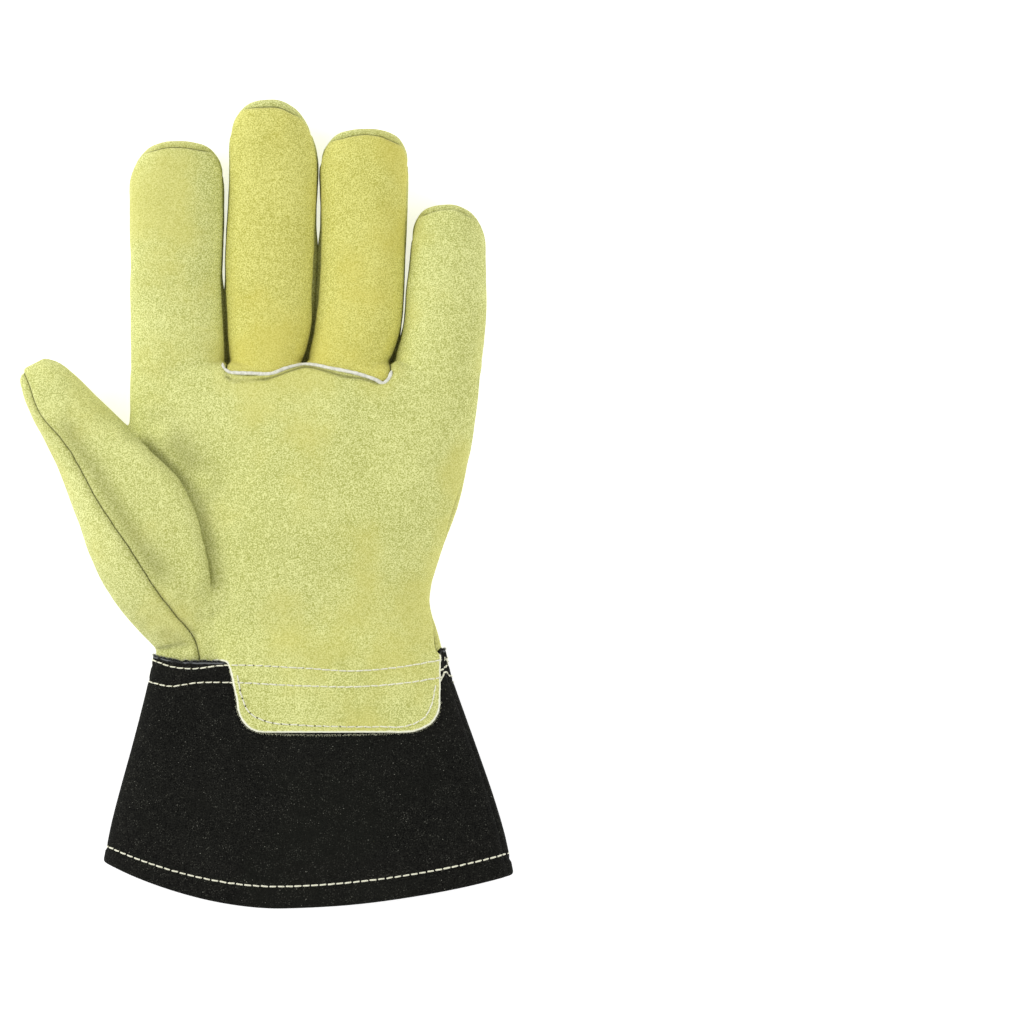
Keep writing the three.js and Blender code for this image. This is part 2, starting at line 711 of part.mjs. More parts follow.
function buildGlove() {
  const glove = new THREE.Group();
  const welt = weltTube(WELT);
  let leather = handShell().subtract(weltTube(WELT + 2 * SEAM_GAP));
  const take = (name, region, material) => {
    const piece = biggest(leather.intersect(region(0)));
    leather = leather.subtract(region(SEAM_GAP));
    glove.add(mesh(name, piece, material));
  };
  ['index_middle', 'middle_ring', 'ring_little'].forEach((name, index) => {
    take(`fourchette_${name}`, (grow) => fourchetteRegion(index, grow), SUEDE);
  });
  take('middle_front', (grow) => frontRegion(1, grow), FRONT_SUEDE);
  take('ring_front', (grow) => frontRegion(2, grow), FRONT_SUEDE);
  take('thumb_back', thumbBackRegion, SUEDE);
  take('back_panel', backRegion, SUEDE);
  const tab = tabLayer().intersect(prism(tabOutline(), 0.5 * CUFF_DEPTH, FAR));
  glove.add(mesh('palm_panel', biggest(biggest(leather).add(tab)), SUEDE));
  glove.add(mesh('knuckle_welt', welt, WELT_WHITE));

  const cuff = cuffTube();
  const halves = (low, high) => prism([
    new THREE.Vector2(-FAR, -FAR),
    new THREE.Vector2(FAR, -FAR),
    new THREE.Vector2(FAR, FAR),
    new THREE.Vector2(-FAR, FAR),
  ], low, high);
  glove.add(mesh('cuff_palm_side', cuff.intersect(halves(CUFF_LEVEL + SEAM_GAP / 2, FAR)), CUFF_SUEDE));
  glove.add(mesh('cuff_back_side', cuff.intersect(halves(-FAR, CUFF_LEVEL - SEAM_GAP / 2)), CUFF_SUEDE));

  // The origin is the middle of the glove's footprint, on the surface that it lies on.
  const box = new THREE.Box3().setFromObject(glove);
  const middle = box.getCenter(new THREE.Vector3());
  glove.position.set(-middle.x, -middle.y, -box.min.z);
  return glove;
}

export default buildGlove();
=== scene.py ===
"""Split leather work glove for the left hand, lying palm up on a pale floor.

The yellow split leather is one skin that is cut along its seams into the panels that it is sewn
from, each a wall of the leather's thickness. The black cuff, the white welt and every stitch are
laid on that skin. Shapes are worked out in millimetres in the glove's own layout: X runs towards
the little finger, Y to the fingertips from the cuff's upper edge, and Z up from the floor.
"""

from __future__ import annotations

import logging
import math
from collections.abc import Mapping, Sequence
from dataclasses import dataclass, field, fields
from enum import IntEnum
from typing import Any

import bmesh
import bpy
import numpy as np
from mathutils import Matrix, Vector, noise
from mathutils.bvhtree import BVHTree
from mathutils.kdtree import KDTree


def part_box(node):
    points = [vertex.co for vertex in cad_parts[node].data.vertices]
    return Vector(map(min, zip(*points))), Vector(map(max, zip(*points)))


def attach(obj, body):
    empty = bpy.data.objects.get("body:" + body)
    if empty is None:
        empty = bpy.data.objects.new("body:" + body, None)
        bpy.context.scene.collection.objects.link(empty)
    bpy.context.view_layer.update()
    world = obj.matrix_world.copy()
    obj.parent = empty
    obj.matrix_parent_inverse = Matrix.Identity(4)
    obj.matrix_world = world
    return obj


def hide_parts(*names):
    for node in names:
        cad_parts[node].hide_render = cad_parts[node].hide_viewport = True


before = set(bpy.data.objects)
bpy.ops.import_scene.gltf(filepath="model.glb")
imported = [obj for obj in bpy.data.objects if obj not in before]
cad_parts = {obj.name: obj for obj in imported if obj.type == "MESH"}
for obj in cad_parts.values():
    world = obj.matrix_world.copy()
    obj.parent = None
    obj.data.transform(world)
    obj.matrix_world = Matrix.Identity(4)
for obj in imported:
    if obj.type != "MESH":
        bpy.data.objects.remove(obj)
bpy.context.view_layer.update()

LOG = logging.getLogger("glove")
MM = 0.001
PALM_WIDTH = 126.0
PALM_LENGTH = 105.0
Points = np.ndarray
Shell = tuple[Points, Points, Points]
Run = tuple[Points, Points]
Corners = tuple[tuple[float, float], ...]
Material = bpy.types.Material
Colour = tuple[float, float, float, float]


class Panel(IntEnum):
    """Pieces of leather that the skin is cut into."""

    OFF = -1
    PALM = 0
    BACK = 1
    THUMB_BACK = 2
    MIDDLE_FRONT = 3
    RING_FRONT = 4
    STRIP_INDEX_MIDDLE = 5
    STRIP_MIDDLE_RING = 6
    STRIP_RING_LITTLE = 7


class Side(IntEnum):
    """Side of the glove that a stitch row or a cuff piece is on."""

    PALM = 1
    BACK = -1


NODES = {
    Panel.PALM: ("palm_panel", "palm_suede"),
    Panel.BACK: ("back_panel", "back_suede"),
    Panel.THUMB_BACK: ("thumb_back", "back_suede"),
    Panel.MIDDLE_FRONT: ("middle_front", "finger_suede"),
    Panel.RING_FRONT: ("ring_front", "finger_suede"),
    Panel.STRIP_INDEX_MIDDLE: ("fourchette_index_middle", "strip_suede"),
    Panel.STRIP_MIDDLE_RING: ("fourchette_middle_ring", "strip_suede"),
    Panel.STRIP_RING_LITTLE: ("fourchette_ring_little", "strip_suede"),
}


@dataclass(frozen=True)
class HandRow:
    """Section of the hand: place and levels as shares of the palm's length, width and depth."""

    along: float
    aside: float
    wide: float
    low: float
    top: float


@dataclass(frozen=True)
class FingerRow:
    """Section of a finger: centre as a share of the palm's width, width of the finger's own."""

    along: float
    centre: float
    width: float


@dataclass(frozen=True)
class ThumbRow:
    """Section of the thumb, as shares of its length, width and depth, with a twist in degrees."""

    along: float
    aside: float
    half: float
    low: float
    top: float
    turn: float


@dataclass(frozen=True)
class CuffRow:
    """Section of the cuff: spread from the wrist's width to the mouth's, levels of its depth."""

    along: float
    spread: float
    low: float
    top: float


@dataclass(frozen=True)
class PlanPoint:
    """Point of a line drawn in plan, as shares of the palm's width and length."""

    across: float
    along: float


def table(kind: Any, *rows: Sequence[float]) -> tuple[Any, ...]:
    """Rows of one kind from their plain numbers."""
    return tuple(kind(*row) for row in rows)


def lerp(start: Any, end: Any, share: Any) -> Any:
    """Value a share of the way from start to end."""
    return start + (end - start) * share


def smooth(share: Any) -> Any:
    """Smooth step from 0 to 1 as share runs from 0 to 1."""
    held = np.clip(share, 0.0, 1.0)
    return held * held * (3.0 - 2.0 * held)


def roundness(share: Any, fullness: Any) -> Any:
    """Height of a rounded section at a share of its half width; fullness 2 is an ellipse."""
    return np.maximum(0.0, 1.0 - np.abs(share) ** fullness) ** (1.0 / fullness)


def bell(distance: Any, reach: float) -> Any:
    """Bell that is 1 at no distance and falls off over a reach."""
    return np.exp(-np.square(distance / reach))


class Spline:
    """Smooth curve through one column of a table."""

    def __init__(self, places: Sequence[float], values: Sequence[float]) -> None:
        """Keeps the knots and works out their tangents.

        Args:
            places: where the rows are, in rising order.
            values: the column's value at each.
        """
        self.places = np.asarray(places, float)
        self.values = np.asarray(values, float)
        steps = np.diff(self.places)
        slopes = np.diff(self.values) / steps
        middle = (slopes[:-1] * steps[1:] + slopes[1:] * steps[:-1]) / (steps[:-1] + steps[1:])
        self.tangents = np.concatenate([slopes[:1], middle, slopes[-1:]])

    def __call__(self, at: Any) -> Any:
        """Value of the curve, held at its ends.

        Args:
            at: a place or an array of places.

        Returns:
            The value or values there.
        """
        at = np.clip(at, self.places[0], self.places[-1])
        row = np.clip(np.searchsorted(self.places, at) - 1, 0, len(self.places) - 2)
        step = self.places[row + 1] - self.places[row]
        t = (at - self.places[row]) / step
        start = self.values[row]
        end = self.values[row + 1]
        rise = self.tangents[row] * step
        fall = self.tangents[row + 1] * step
        return (
            start * (2 * t**3 - 3 * t**2 + 1)
            + rise * (t**3 - 2 * t**2 + t)
            + end * (3 * t**2 - 2 * t**3)
            + fall * (t**3 - t**2)
        )


def column(rows: Sequence[Any], name: str) -> Spline:
    """Spline through one named column of a table."""
    return Spline([row.along for row in rows], [getattr(row, name) for row in rows])


def unit(vectors: Points) -> Points:
    """The same directions with length 1."""
    return vectors / np.linalg.norm(vectors, axis=-1, keepdims=True)


def full_turn(count: int) -> Points:
    """Angles evenly round a section."""
    return np.linspace(0, 2 * np.pi, count, endpoint=False)


@dataclass
class Sectioned:
    """Form whose sections follow a table of rows."""

    curves: dict[str, Spline] = field(init=False)

    def __post_init__(self) -> None:
        """Makes a curve of each column but the first."""
        names = [each.name for each in fields(self.rows[0])][1:]
        self.curves = {name: column(self.rows, name) for name in names}


def plan_points(rows: Sequence[PlanPoint], length: float = PALM_LENGTH) -> Points:
    """Points in plan of a table of shares, as an array of X and Y."""
    return np.array([(row.across * PALM_WIDTH, row.along * length) for row in rows])


def plan_offset(places: Points, line: Points) -> Points:
    """Distance in plan from places to an open line, positive on the line's left.

    Args:
        places: points, of which X and Y are read.
        line: the line's corners.

    Returns:
        An offset for each place.
    """
    found = np.full(len(places), np.inf)
    for start, end in zip(line[:-1], line[1:]):
        run = end - start
        share = np.clip(((places[:, :2] - start) @ run) / (run @ run), 0.0, 1.0)
        gap = places[:, :2] - start - share[:, None] * run
        near = np.hypot(gap[:, 0], gap[:, 1])
        left = run[0] * gap[:, 1] - run[1] * gap[:, 0] >= 0
        found = np.where(near < np.abs(found), np.where(left, near, -near), found)
    return found


def inside(places: Points, outline: Points) -> Points:
    """Whether each place lies inside a closed outline in plan."""
    x, y = places[:, 0], places[:, 1]
    odd = np.zeros(len(places), bool)
    for (x0, y0), (x1, y1) in zip(outline, np.roll(outline, -1, axis=0)):
        if y0 == y1:
            continue
        crossing = (y0 > y) != (y1 > y)
        odd ^= crossing & (x < x0 + (y - y0) * (x1 - x0) / (y1 - y0))
    return odd


def bend(start: Sequence[float], corner: Sequence[float], end: Sequence[float], steps: int = 10) -> Points:
    """Rounded corner from start to end, pulled towards corner."""
    t = np.linspace(0.0, 1.0, steps)[:, None]
    start, corner, end = (np.asarray(point, float) for point in (start, corner, end))
    return start * (1 - t) ** 2 + 2 * corner * t * (1 - t) + end * t**2


def softened(line: Points, steps: int = 200) -> Points:
    """Evenly spaced points on a smooth curve through the points of a line.

    Args:
        line: points in plan or in space.
        steps: how many points to return.

    Returns:
        The points of the curve.
    """
    run = np.concatenate([[0.0], np.cumsum(np.linalg.norm(np.diff(line, axis=0), axis=1))])
    curves = [Spline(run, line[:, axis]) for axis in range(line.shape[1])]
    fine = np.linspace(0.0, run[-1], steps)
    return np.stack([curve(fine) for curve in curves], axis=1)


def steadied(values: Points, reach: int = 4) -> Points:
    """Running mean of a row of values over its neighbours on both sides."""
    return np.convolve(np.pad(values, reach, "edge"), np.full(2 * reach + 1, 1 / (2 * reach + 1)), "valid")


def ripple(places: Points, size: float, seed: float, octaves: int = 2) -> Points:
    """Soft unevenness between about -1 and 1, with swells a size in millimetres apart."""
    moved = places / size + seed
    return np.array([noise.fractal(Vector(place), 0.9, 2.1, octaves) for place in moved.tolist()])


@dataclass
class Skin:
    """Closed or open sheet of faces, in millimetres in the glove's layout."""

    points: Points
    faces: Points

    def normals(self) -> Points:
        """Unit normal at every point."""
        a, b, c, d = (self.points[self.faces[:, i]] for i in range(4))
        across = np.cross(c - a, d - b)
        total = np.zeros_like(self.points)
        for axis in range(3):
            weights = np.repeat(across[:, axis], 4)
            total[:, axis] = np.bincount(self.faces.ravel(), weights, len(self.points))
        return total / np.maximum(np.linalg.norm(total, axis=1, keepdims=True), 1e-9)

    def middles(self) -> Points:
        """Middle of every face."""
        return self.points[self.faces].mean(axis=1)

    def edges(self) -> tuple[Points, Points]:
        """Every edge with the faces beside it.

        Returns:
            Pairs of points, and pairs of faces with -1 where there is none.
        """
        ends = np.concatenate([self.faces[:, [i, (i + 1) % 4]] for i in range(4)])
        owner = np.tile(np.arange(len(self.faces)), 4)
        ends = np.sort(ends, axis=1)
        order = np.lexsort((ends[:, 1], ends[:, 0]))
        ends, owner = ends[order], owner[order]
        same = np.all(ends[1:] == ends[:-1], axis=1)
        first = np.concatenate([[True], ~same])
        starts = np.flatnonzero(first)
        twin = np.full(len(starts), -1)
        has = starts + 1 < len(ends)
        paired = has & ~first[np.minimum(starts + 1, len(ends) - 1)]
        twin[paired] = owner[starts[paired] + 1]
        return ends[starts], np.stack([owner[starts], twin], axis=1)

    def relax(self, pairs: Points, rounds: int, share: float, held: Points | None = None) -> None:
        """Draws points towards the middle of their neighbours.

        Args:
            pairs: edges to follow.
            rounds: how many times.
            share: how far each time.
            held: points that stay where they are.
        """
        size = len(self.points)
        count = np.bincount(pairs.ravel(), minlength=size)
        moves = count > 0
        if held is not None:
            moves &= ~held
        for _ in range(rounds):
            total = np.zeros_like(self.points)
            for axis in range(3):
                value = self.points[:, axis]
                total[:, axis] = np.bincount(pairs[:, 0], value[pairs[:, 1]], size)
                total[:, axis] += np.bincount(pairs[:, 1], value[pairs[:, 0]], size)
            aim = total[moves] / count[moves, None]
            self.points[moves] = lerp(self.points[moves], aim, share)


class Workshop:
    """Turns shapes in the layout into objects in the frame."""

    def __init__(self) -> None:
        """Reads from the frame where the layout's origin lies."""
        low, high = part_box("cuff_palm_side")
        mouth_shift = 1.536
        self.origin = np.array([(low.x + high.x) / 2 / MM - mouth_shift, high.y / MM, 0.0])
        self.leather: list[bpy.types.Object] = []

    def world(self, points: Points) -> Points:
        """Points in metres in the frame, from millimetres in the layout."""
        return (points + self.origin) * MM

    def layout(self, points: Points) -> Points:
        """Points in millimetres in the layout, from metres in the frame."""
        return points / MM - self.origin

    def mesh(self, name: str, points: Points, *blocks: Points) -> bpy.types.Mesh:
        """Mesh in the frame from points in the layout.

        Args:
            name: the mesh's name.
            points: its points, in millimetres.
            blocks: arrays of faces, each with as many columns as its faces have corners.

        Returns:
            The mesh, shaded smooth.
        """
        made = bpy.data.meshes.new(name)
        made.vertices.add(len(points))
        made.vertices.foreach_set("co", self.world(points).astype(np.float32).ravel())
        sizes = np.concatenate([np.full(len(block), block.shape[1]) for block in blocks])
        loops = np.concatenate([block.ravel() for block in blocks]).astype(np.int32)
        made.loops.add(len(loops))
        made.loops.foreach_set("vertex_index", loops)
        made.polygons.add(len(sizes))
        starts = np.concatenate([[0], np.cumsum(sizes)[:-1]]).astype(np.int32)
        made.polygons.foreach_set("loop_start", starts)
        made.polygons.foreach_set("use_smooth", np.ones(len(sizes), bool))
        made.update(calc_edges=True)
        return made

    def place(self, name: str, mesh: bpy.types.Mesh) -> bpy.types.Object:
        """Object that shows a mesh in the scene."""
        made = bpy.data.objects.new(name, mesh)
        bpy.context.scene.collection.objects.link(made)
        return made

    def stand_for(self, node: str, mesh: bpy.types.Mesh) -> None:
        """Shows a leather piece in place of its CAD node.

        Args:
            node: the CAD node.
            mesh: the piece's mesh.
        """
        piece = self.place(mesh.name, mesh)
        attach(piece, "root")
        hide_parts(node)
        self.leather.append(piece)
        LOG.info("%s: %d faces", piece.name, len(mesh.polygons))

    def mark(self, mesh: bpy.types.Mesh, name: str, values: Points) -> None:
        """Keeps one number for each point of a mesh, for its material."""
        layer = mesh.attributes.new(name, "FLOAT", "POINT")
        layer.data.foreach_set("value", values.astype(np.float32))

    def settled(self, thing: bpy.types.Object, name: str) -> bpy.types.Object:
        """Plain copy of an object with its modifiers made part of its mesh.

        Args:
            thing: the object, which is removed.
            name: the copy's name.

        Returns:
            The copy.
        """
        bpy.context.view_layer.update()
        graph = bpy.context.evaluated_depsgraph_get()
        mesh = bpy.data.meshes.new_from_object(thing.evaluated_get(graph))
        source = thing.data
        bpy.data.objects.remove(thing)
        if source.users == 0:
            bpy.data.meshes.remove(source)
        mesh.name = name
        return self.place(name, mesh)

    def union(self, shells: Sequence[Shell], grain: float) -> Skin:
        """One skin round overlapping closed shells.

        Args:
            shells: points, four-cornered faces and three-cornered faces of each.
            grain: size of the new faces, in millimetres.

        Returns:
            The skin.
        """
        points, squares, fans, start = [], [], [], 0
        for shell, quads, triangles in shells:
            points.append(shell)
            squares.append(quads + start)
            fans.append(triangles + start)
            start += len(shell)
        parts = (np.concatenate(points), np.concatenate(squares), np.concatenate(fans))
        blank = self.place("skin_blank", self.mesh("skin_blank", *parts))
        remesh = blank.modifiers.new("skin", "REMESH")
        remesh.mode = "VOXEL"
        remesh.voxel_size = grain * MM
        whole = self.settled(blank, "skin_whole")
        mesh = whole.data
        flat = np.empty(len(mesh.vertices) * 3, np.float32)
        mesh.vertices.foreach_get("co", flat)
        corners = np.empty(len(mesh.loops), np.int32)
        mesh.loops.foreach_get("vertex_index", corners)
        bpy.data.objects.remove(whole)
        bpy.data.meshes.remove(mesh)
        return Skin(self.layout(flat.reshape(-1, 3).astype(float)), corners.reshape(-1, 4))


def tube_shell(rings: Sequence[Points]) -> Shell:
    """Closed shell over a row of rings.

    Args:
        rings: rings with as many points each, anticlockwise as seen from the first towards the last.

    Returns:
        Points, four-cornered faces and the fans that close the ends.
    """
    count = len(rings[0])
    rows = len(rings)
    index = np.arange(rows * count).reshape(rows, count)
    after = np.roll(index, -1, axis=1)
    quads = np.stack([index[:-1], index[1:], after[1:], after[:-1]], axis=-1).reshape(-1, 4)
    points = np.concatenate([*rings, [rings[0].mean(axis=0), rings[-1].mean(axis=0)]])
    first, last = rows * count, rows * count + 1
    near = np.stack([np.full(count, first), index[0], after[0]], axis=1)
    far = np.stack([np.full(count, last), after[-1], index[-1]], axis=1)
    return points, quads, np.concatenate([near, far])


def thicken(skin: Skin, normals: Points, wall: float) -> tuple[Points, Points]:
    """Gives an open sheet a wall inwards, closed along its edges.

    Args:
        skin: the outer sheet.
        normals: direction of the wall at each point.
        wall: its thickness.

    Returns:
        Points and faces.
    """
    size = len(skin.points)
    ends = np.concatenate([skin.faces[:, [i, (i + 1) % 4]] for i in range(4)])
    code = ends[:, 0] * size + ends[:, 1]
    back = ends[:, 1] * size + ends[:, 0]
    rim = ends[~np.isin(code, back)]
    a, b = rim[:, 0], rim[:, 1]
    walls = np.stack([b, a, a + size, b + size], axis=1)
    points = np.concatenate([skin.points, skin.points - normals * wall])
    faces = np.concatenate([skin.faces, skin.faces[:, ::-1] + size, walls])
    return points, faces


@dataclass
class Cuff(Sectioned):
    """Black cuff: a front and a back, open above and below, with a folded hem."""

    leather: float = 1.3
    top_width: float = 105.1
    mouth_width: float = 147.5
    length: float = 90.4
    palm_share: float = 0.861
    depth: float = 31.0
    shift: float = 3.3
    wrist_aside: float = -1.76
    hem_rise_left: float = 16.1
    hem_rise_right: float = 11.5
    hem_curve: float = 1.85
    hem_lowest: float = -0.14
    sway: float = 0.65
    hem_width: float = 7.0
    hem_gap: float = 0.15
    widest: float = 0.38
    left_fullness: float = 2.2
    right_fullness: float = 2.4
    low_fullness: float = 3.8
    pleat_step: float = 1.3
    seam_turn: float = 0.2
    edge_dip: float = 1.9
    edge_rag: float = 0.42
    edge_rise: float = 2.3
    edge_step: float = 3.0
    rows: tuple[CuffRow, ...] = table(
        CuffRow, (0.0, 0.0, -0.02, 0.93), (0.12, 0.11, -0.02, 0.93), (0.27, 0.272, -0.02, 0.92),
        (0.45, 0.474, -0.02, 0.92), (0.64, 0.688, -0.02, 0.94), (0.82, 0.868, -0.02, 0.97),
        (1.0, 1.0, -0.02, 1.0),
    )
    pleat: tuple[PlanPoint, ...] = table(
        PlanPoint, (-0.62, -0.44), (-0.52, -0.42), (-0.411, -0.36), (-0.325, -0.223), (-0.27, 0.02),
    )

    def half(self, along: Any, grow: float = 0.0) -> Any:
        """Half width at a share of the length, grown outwards."""
        return lerp(self.top_width, self.mouth_width, self.curves["spread"](along)) / 2 + grow

    def centre(self, along: Any) -> Any:
        """Middle of the section across the glove."""
        spread = self.curves["spread"](along)
        return self.wrist_aside + self.shift * (spread + self.sway * spread * (1 - spread))

    def middle(self) -> float:
        """Level at which the section is widest."""
        return self.widest * self.depth

    def bow(self, along: Any, share: Any) -> Any:
        """How far the sides of a section lie towards the hand."""
        place = share - self.hem_lowest
        left = self.hem_rise_left * (np.abs(place) / (1 + self.hem_lowest)) ** self.hem_curve
        right = self.hem_rise_right * (np.abs(place) / (1 - self.hem_lowest)) ** self.hem_curve
        return np.minimum(along, 1.0) * np.where(place < 0, left, right)

    def upper(self, along: Any, share: Any, grow: float = 0.0) -> Any:
        """Height of the palm side."""
        top = self.curves["top"](along) * self.depth + grow
        fullness = np.where(share < 0, self.left_fullness, self.right_fullness)
        return self.middle() + (top - self.middle()) * roundness(share, fullness)

    def lower(self, along: Any, share: Any, x: Any, y: Any) -> Any:
        """Height of the back side, which lies on the floor and steps up beyond its pleat."""
        low = self.curves["low"](along) * self.depth
        plain = self.middle() - (self.middle() - low) * roundness(share, self.low_fullness)
        line = plan_points(self.pleat, self.length / self.palm_share)
        border = np.interp(y, line[:, 1], line[:, 0])
        step = self.pleat_step * smooth((border - x) / (1.5 * self.leather))
        fade = smooth((y - line[0, 1]) / 4.0)
        return np.maximum(plain, step * fade)

    def above(self, x: Points, y: Points, grow: float) -> Points:
        """Height of the palm side over places in plan.

        Args:
            x: places across.
            y: places along, negative on the cuff.
            grow: how far the skin is grown outwards.

        Returns:
            Heights.
        """
        along = np.clip(-y / self.length, 0.0, 1.0)
        for _ in range(4):
            share = np.clip((x - self.centre(along)) / self.half(along, grow), -1.0, 1.0)
            along = np.clip((self.bow(along, share) - y) / self.length, 0.0, 1.0)
        share = np.clip((x - self.centre(along)) / self.half(along, grow), -1.0, 1.0)
        return self.upper(along, share, grow)

    def sheet(self, side: Side, along: Points, turn: Points) -> Points:
        """Outer surface on a grid.

        Args:
            side: the palm side or the back side.
            along: shares of the length, one for each row.
            turn: angles round the section, one for each column.

        Returns:
            Points, rows by columns.
        """
        rows, turns = np.meshgrid(along, turn, indexing="ij")
        share = np.cos(turns)
        x = self.centre(rows) + self.half(rows) * share
        y = self.bow(rows, share) - rows * self.length
        over = np.sin(turns) >= 0
        high = self.upper(rows, share)
        z = np.where(over, high, self.lower(rows, share, x, y))
        grid = np.stack([x, y, z], axis=-1)
        sway = ripple(grid.reshape(-1, 3), 42.0, 3.7 + side, 2).reshape(x.shape)
        lift = np.where(over, 1.0, 0.0) * smooth(rows / 0.2) * np.sin(turns).clip(0, 1)
        grid[..., 2] += 0.9 * sway * lift
        below = rows * self.length
        lift = self.edge_rise * smooth((share - 0.94) / 0.035)
        if side == Side.PALM:
            lift = lift - self.edge_dip * smooth((1 - np.abs(share)) / 0.2)
        else:
            lift = lift - self.edge_step * smooth((self.pleat[-1].across * PALM_WIDTH - x) / 1.5)
        grid[..., 1] += lift * (1 - smooth(below / 9.0))
        rag = ripple(grid[0], 1.7, 1.3, 2) + 0.6 * ripple(grid[0], 6.0, 8.1, 1)
        grid[..., 1] += self.edge_rag * rag[None, :] * (1 - smooth(below / 1.2))
        return grid


@dataclass
class Tab:
    """End of the palm panel that lies over the cuff."""

    cuff: Cuff
    left: float = -27.4
    right: float = 49.2
    length: float = 27.8
    lean: float = 3.2
    corner: float = 11.0
    clearance: float = 0.3
    rise: float = 15.0

    def outline(self) -> Points:
        """Closed outline in plan, from the upper left corner round to the upper right one."""
        foot = self.left + self.lean
        end = -self.length
        turned = [(self.left, 3.0), (self.left, 0.0)]
        first = bend((foot, end + 1.2 * self.corner), (foot + 0.6, end), (foot + self.corner, end))
        right = self.right
        second = bend((right - 1.4 * self.corner, end), (right, end), (right, end + self.corner))
        return np.concatenate([turned, first, second, [(right, 3.0)]])

    def blend(self, x: Any, y: Any) -> Any:
        """How far the palm has risen to the tab's level, from 0 to 1."""
        return (1 - smooth((y - 1.0) / self.rise)) * smooth((x - self.left + 5.0) / 6.0)

    def height(self, x: Points, y: Points) -> Points:
        """Height of the tab's outer face."""
        return self.cuff.above(x, y, self.cuff.leather + self.clearance)


@dataclass
class Hand(Sectioned):
    """Palm and back of the hand, from the cuff to the forks of the fingers."""

    tab: Tab
    width: float = PALM_WIDTH
    length: float = PALM_LENGTH
    wrist: float = 101.0
    depth: float = 33.0
    lap: float = 12.6
    widest: float = 0.4
    left_fullness: float = 2.1
    right_fullness: float = 2.5
    knuckle_fullness: float = 3.4
    low_fullness: float = 3.2
    gather_height: float = 16.5
    gather_waves: float = 8.5
    gather_span: float = 88.0
    gather_depth: float = 3.4
    gather_reach: float = 14.0
    edge_round: float = 5.0
    rows: tuple[HandRow, ...] = table(
        HandRow, (-0.12, -0.028, 0.0, 0.085, 0.74), (0.0, -0.028, 0.08, 0.085, 0.8),
        (0.08, -0.042, -0.02, 0.08, 0.86), (0.17, -0.08, -0.03, 0.08, 0.93),
        (0.34, -0.08, 0.24, 0.02, 0.98), (0.5, -0.05, 0.58, -0.02, 1.0),
        (0.66, -0.028, 0.8, -0.02, 0.97), (0.82, -0.008, 0.93, -0.02, 0.89),
        (0.94, 0.004, 0.99, -0.02, 0.795), (1.0, 0.004, 1.0, -0.02, 0.74),
    )

    def dents(self, x: Any, y: Any) -> Any:
        """How deep the palm's hollows are at a place in plan."""
        across, along = x / self.width, y / self.length
        thumb_root = 0.09 * bell(across + 0.25, 0.12) * bell(along - 0.62, 0.22)
        under_fingers = 0.04 * bell(across - 0.16, 0.2) * bell(along - 0.72, 0.12)
        heel = 0.05 * bell(across - 0.12, 0.16) * bell(along - 0.22, 0.12)
        return self.depth * (thumb_root + under_fingers + heel)

    def pleats(self, x: Any, y: Any) -> tuple[Any, Any]:
        """How far the elastic draws the wrist together at a place in plan, and its narrow pleats.

        Args:
            x: places across.
            y: places along.

        Returns:
            The pull of the elastic and the depth of the pleats, both from 0 to 1.
        """
        reach = (y - self.gather_height) / self.gather_reach
        aside = np.abs(x - 0.04 * self.width) / (self.gather_span / 2)
        fan = x * (1 + 0.16 * np.abs(reach)) + 1.6 * np.sin(0.11 * x + 1.3 * reach)
        wave = np.sin(np.pi * self.gather_waves * fan / self.gather_span)
        pleat = np.exp(-np.square(wave / (0.4 + 0.16 * np.abs(reach))))
        return np.exp(-reach * reach) * (1 - smooth((aside - 0.85) / 0.25)), pleat

    def gathered(self, x: Any, y: Any, level: Any) -> Any:
        """Height of the back of the wrist with its pleats, from the plain leather's height."""
        drawn, pleat = self.pleats(x, y)
        return level * (1 - 0.65 * drawn) + self.gather_depth * drawn * pleat

    def ring(self, y: float, turn: Points) -> Points:
        """Section of the hand at one place along it.

        Args:
            y: where, negative where the tab lies over the cuff.
            turn: angles round the section.

        Returns:
            Points of the ring.
        """
        along = np.clip(y / self.length, self.rows[0].along, 1.0)
        half = lerp(self.wrist, self.width, self.curves["wide"](along)) / 2
        centre = self.curves["aside"](along) * self.width / 2
        top = self.curves["top"](along) * self.depth
        middle = self.widest * top
        low = self.curves["low"](along) * self.depth
        square = smooth((along - 0.6) / 0.35)
        share, over = np.cos(turn), np.sin(turn) >= 0
        inset = self.edge_round * (1 - roundness(max(0.0, 1 - (self.length - y) / self.edge_round), 2.0))
        x = centre + (half - 0.5 * inset) * share
        side = np.where(share < 0, self.left_fullness, self.right_fullness)
        fullness = lerp(side, self.knuckle_fullness, square)
        high = middle + (top - inset - middle) * roundness(share, fullness) - self.dents(x, y)
        under = middle - (middle - low) * roundness(share, self.low_fullness)
        under = self.gathered(x, y, np.maximum(under, 0.0))
        z = np.where(over, high, under)
        foot = -0.6 * smooth(y / 4.0) - 0.02
        weight = self.tab.blend(x, y) * smooth((np.sin(turn) - foot) / -foot)
        cuff = self.tab.cuff
        grown = cuff.leather + self.tab.clearance
        tab_x = cuff.centre(0.0) + cuff.half(max(0.0, -y) / cuff.length, grown) * share
        tab_z = self.tab.height(tab_x, np.full_like(tab_x, y))
        tab_z = np.where(over, tab_z, z)
        x = lerp(x, tab_x, weight * smooth((1.5 - y) / 3.0))
        return np.stack([x, np.full_like(x, y), lerp(z, tab_z, weight)], axis=1)

    def shell(self) -> Shell:
        """Closed shell of the hand and the tab."""
        turn = full_turn(260)
        main = np.linspace(-self.tab.length - 6, self.length - self.edge_round, 150)
        end = self.length - self.edge_round * np.cos(np.linspace(0.0, 0.5, 9)[1:] * np.pi)
        return tube_shell([self.ring(y, turn) for y in (*main, *end)])

    def fork(self) -> float:
        """Where the fingers start."""
        return self.length


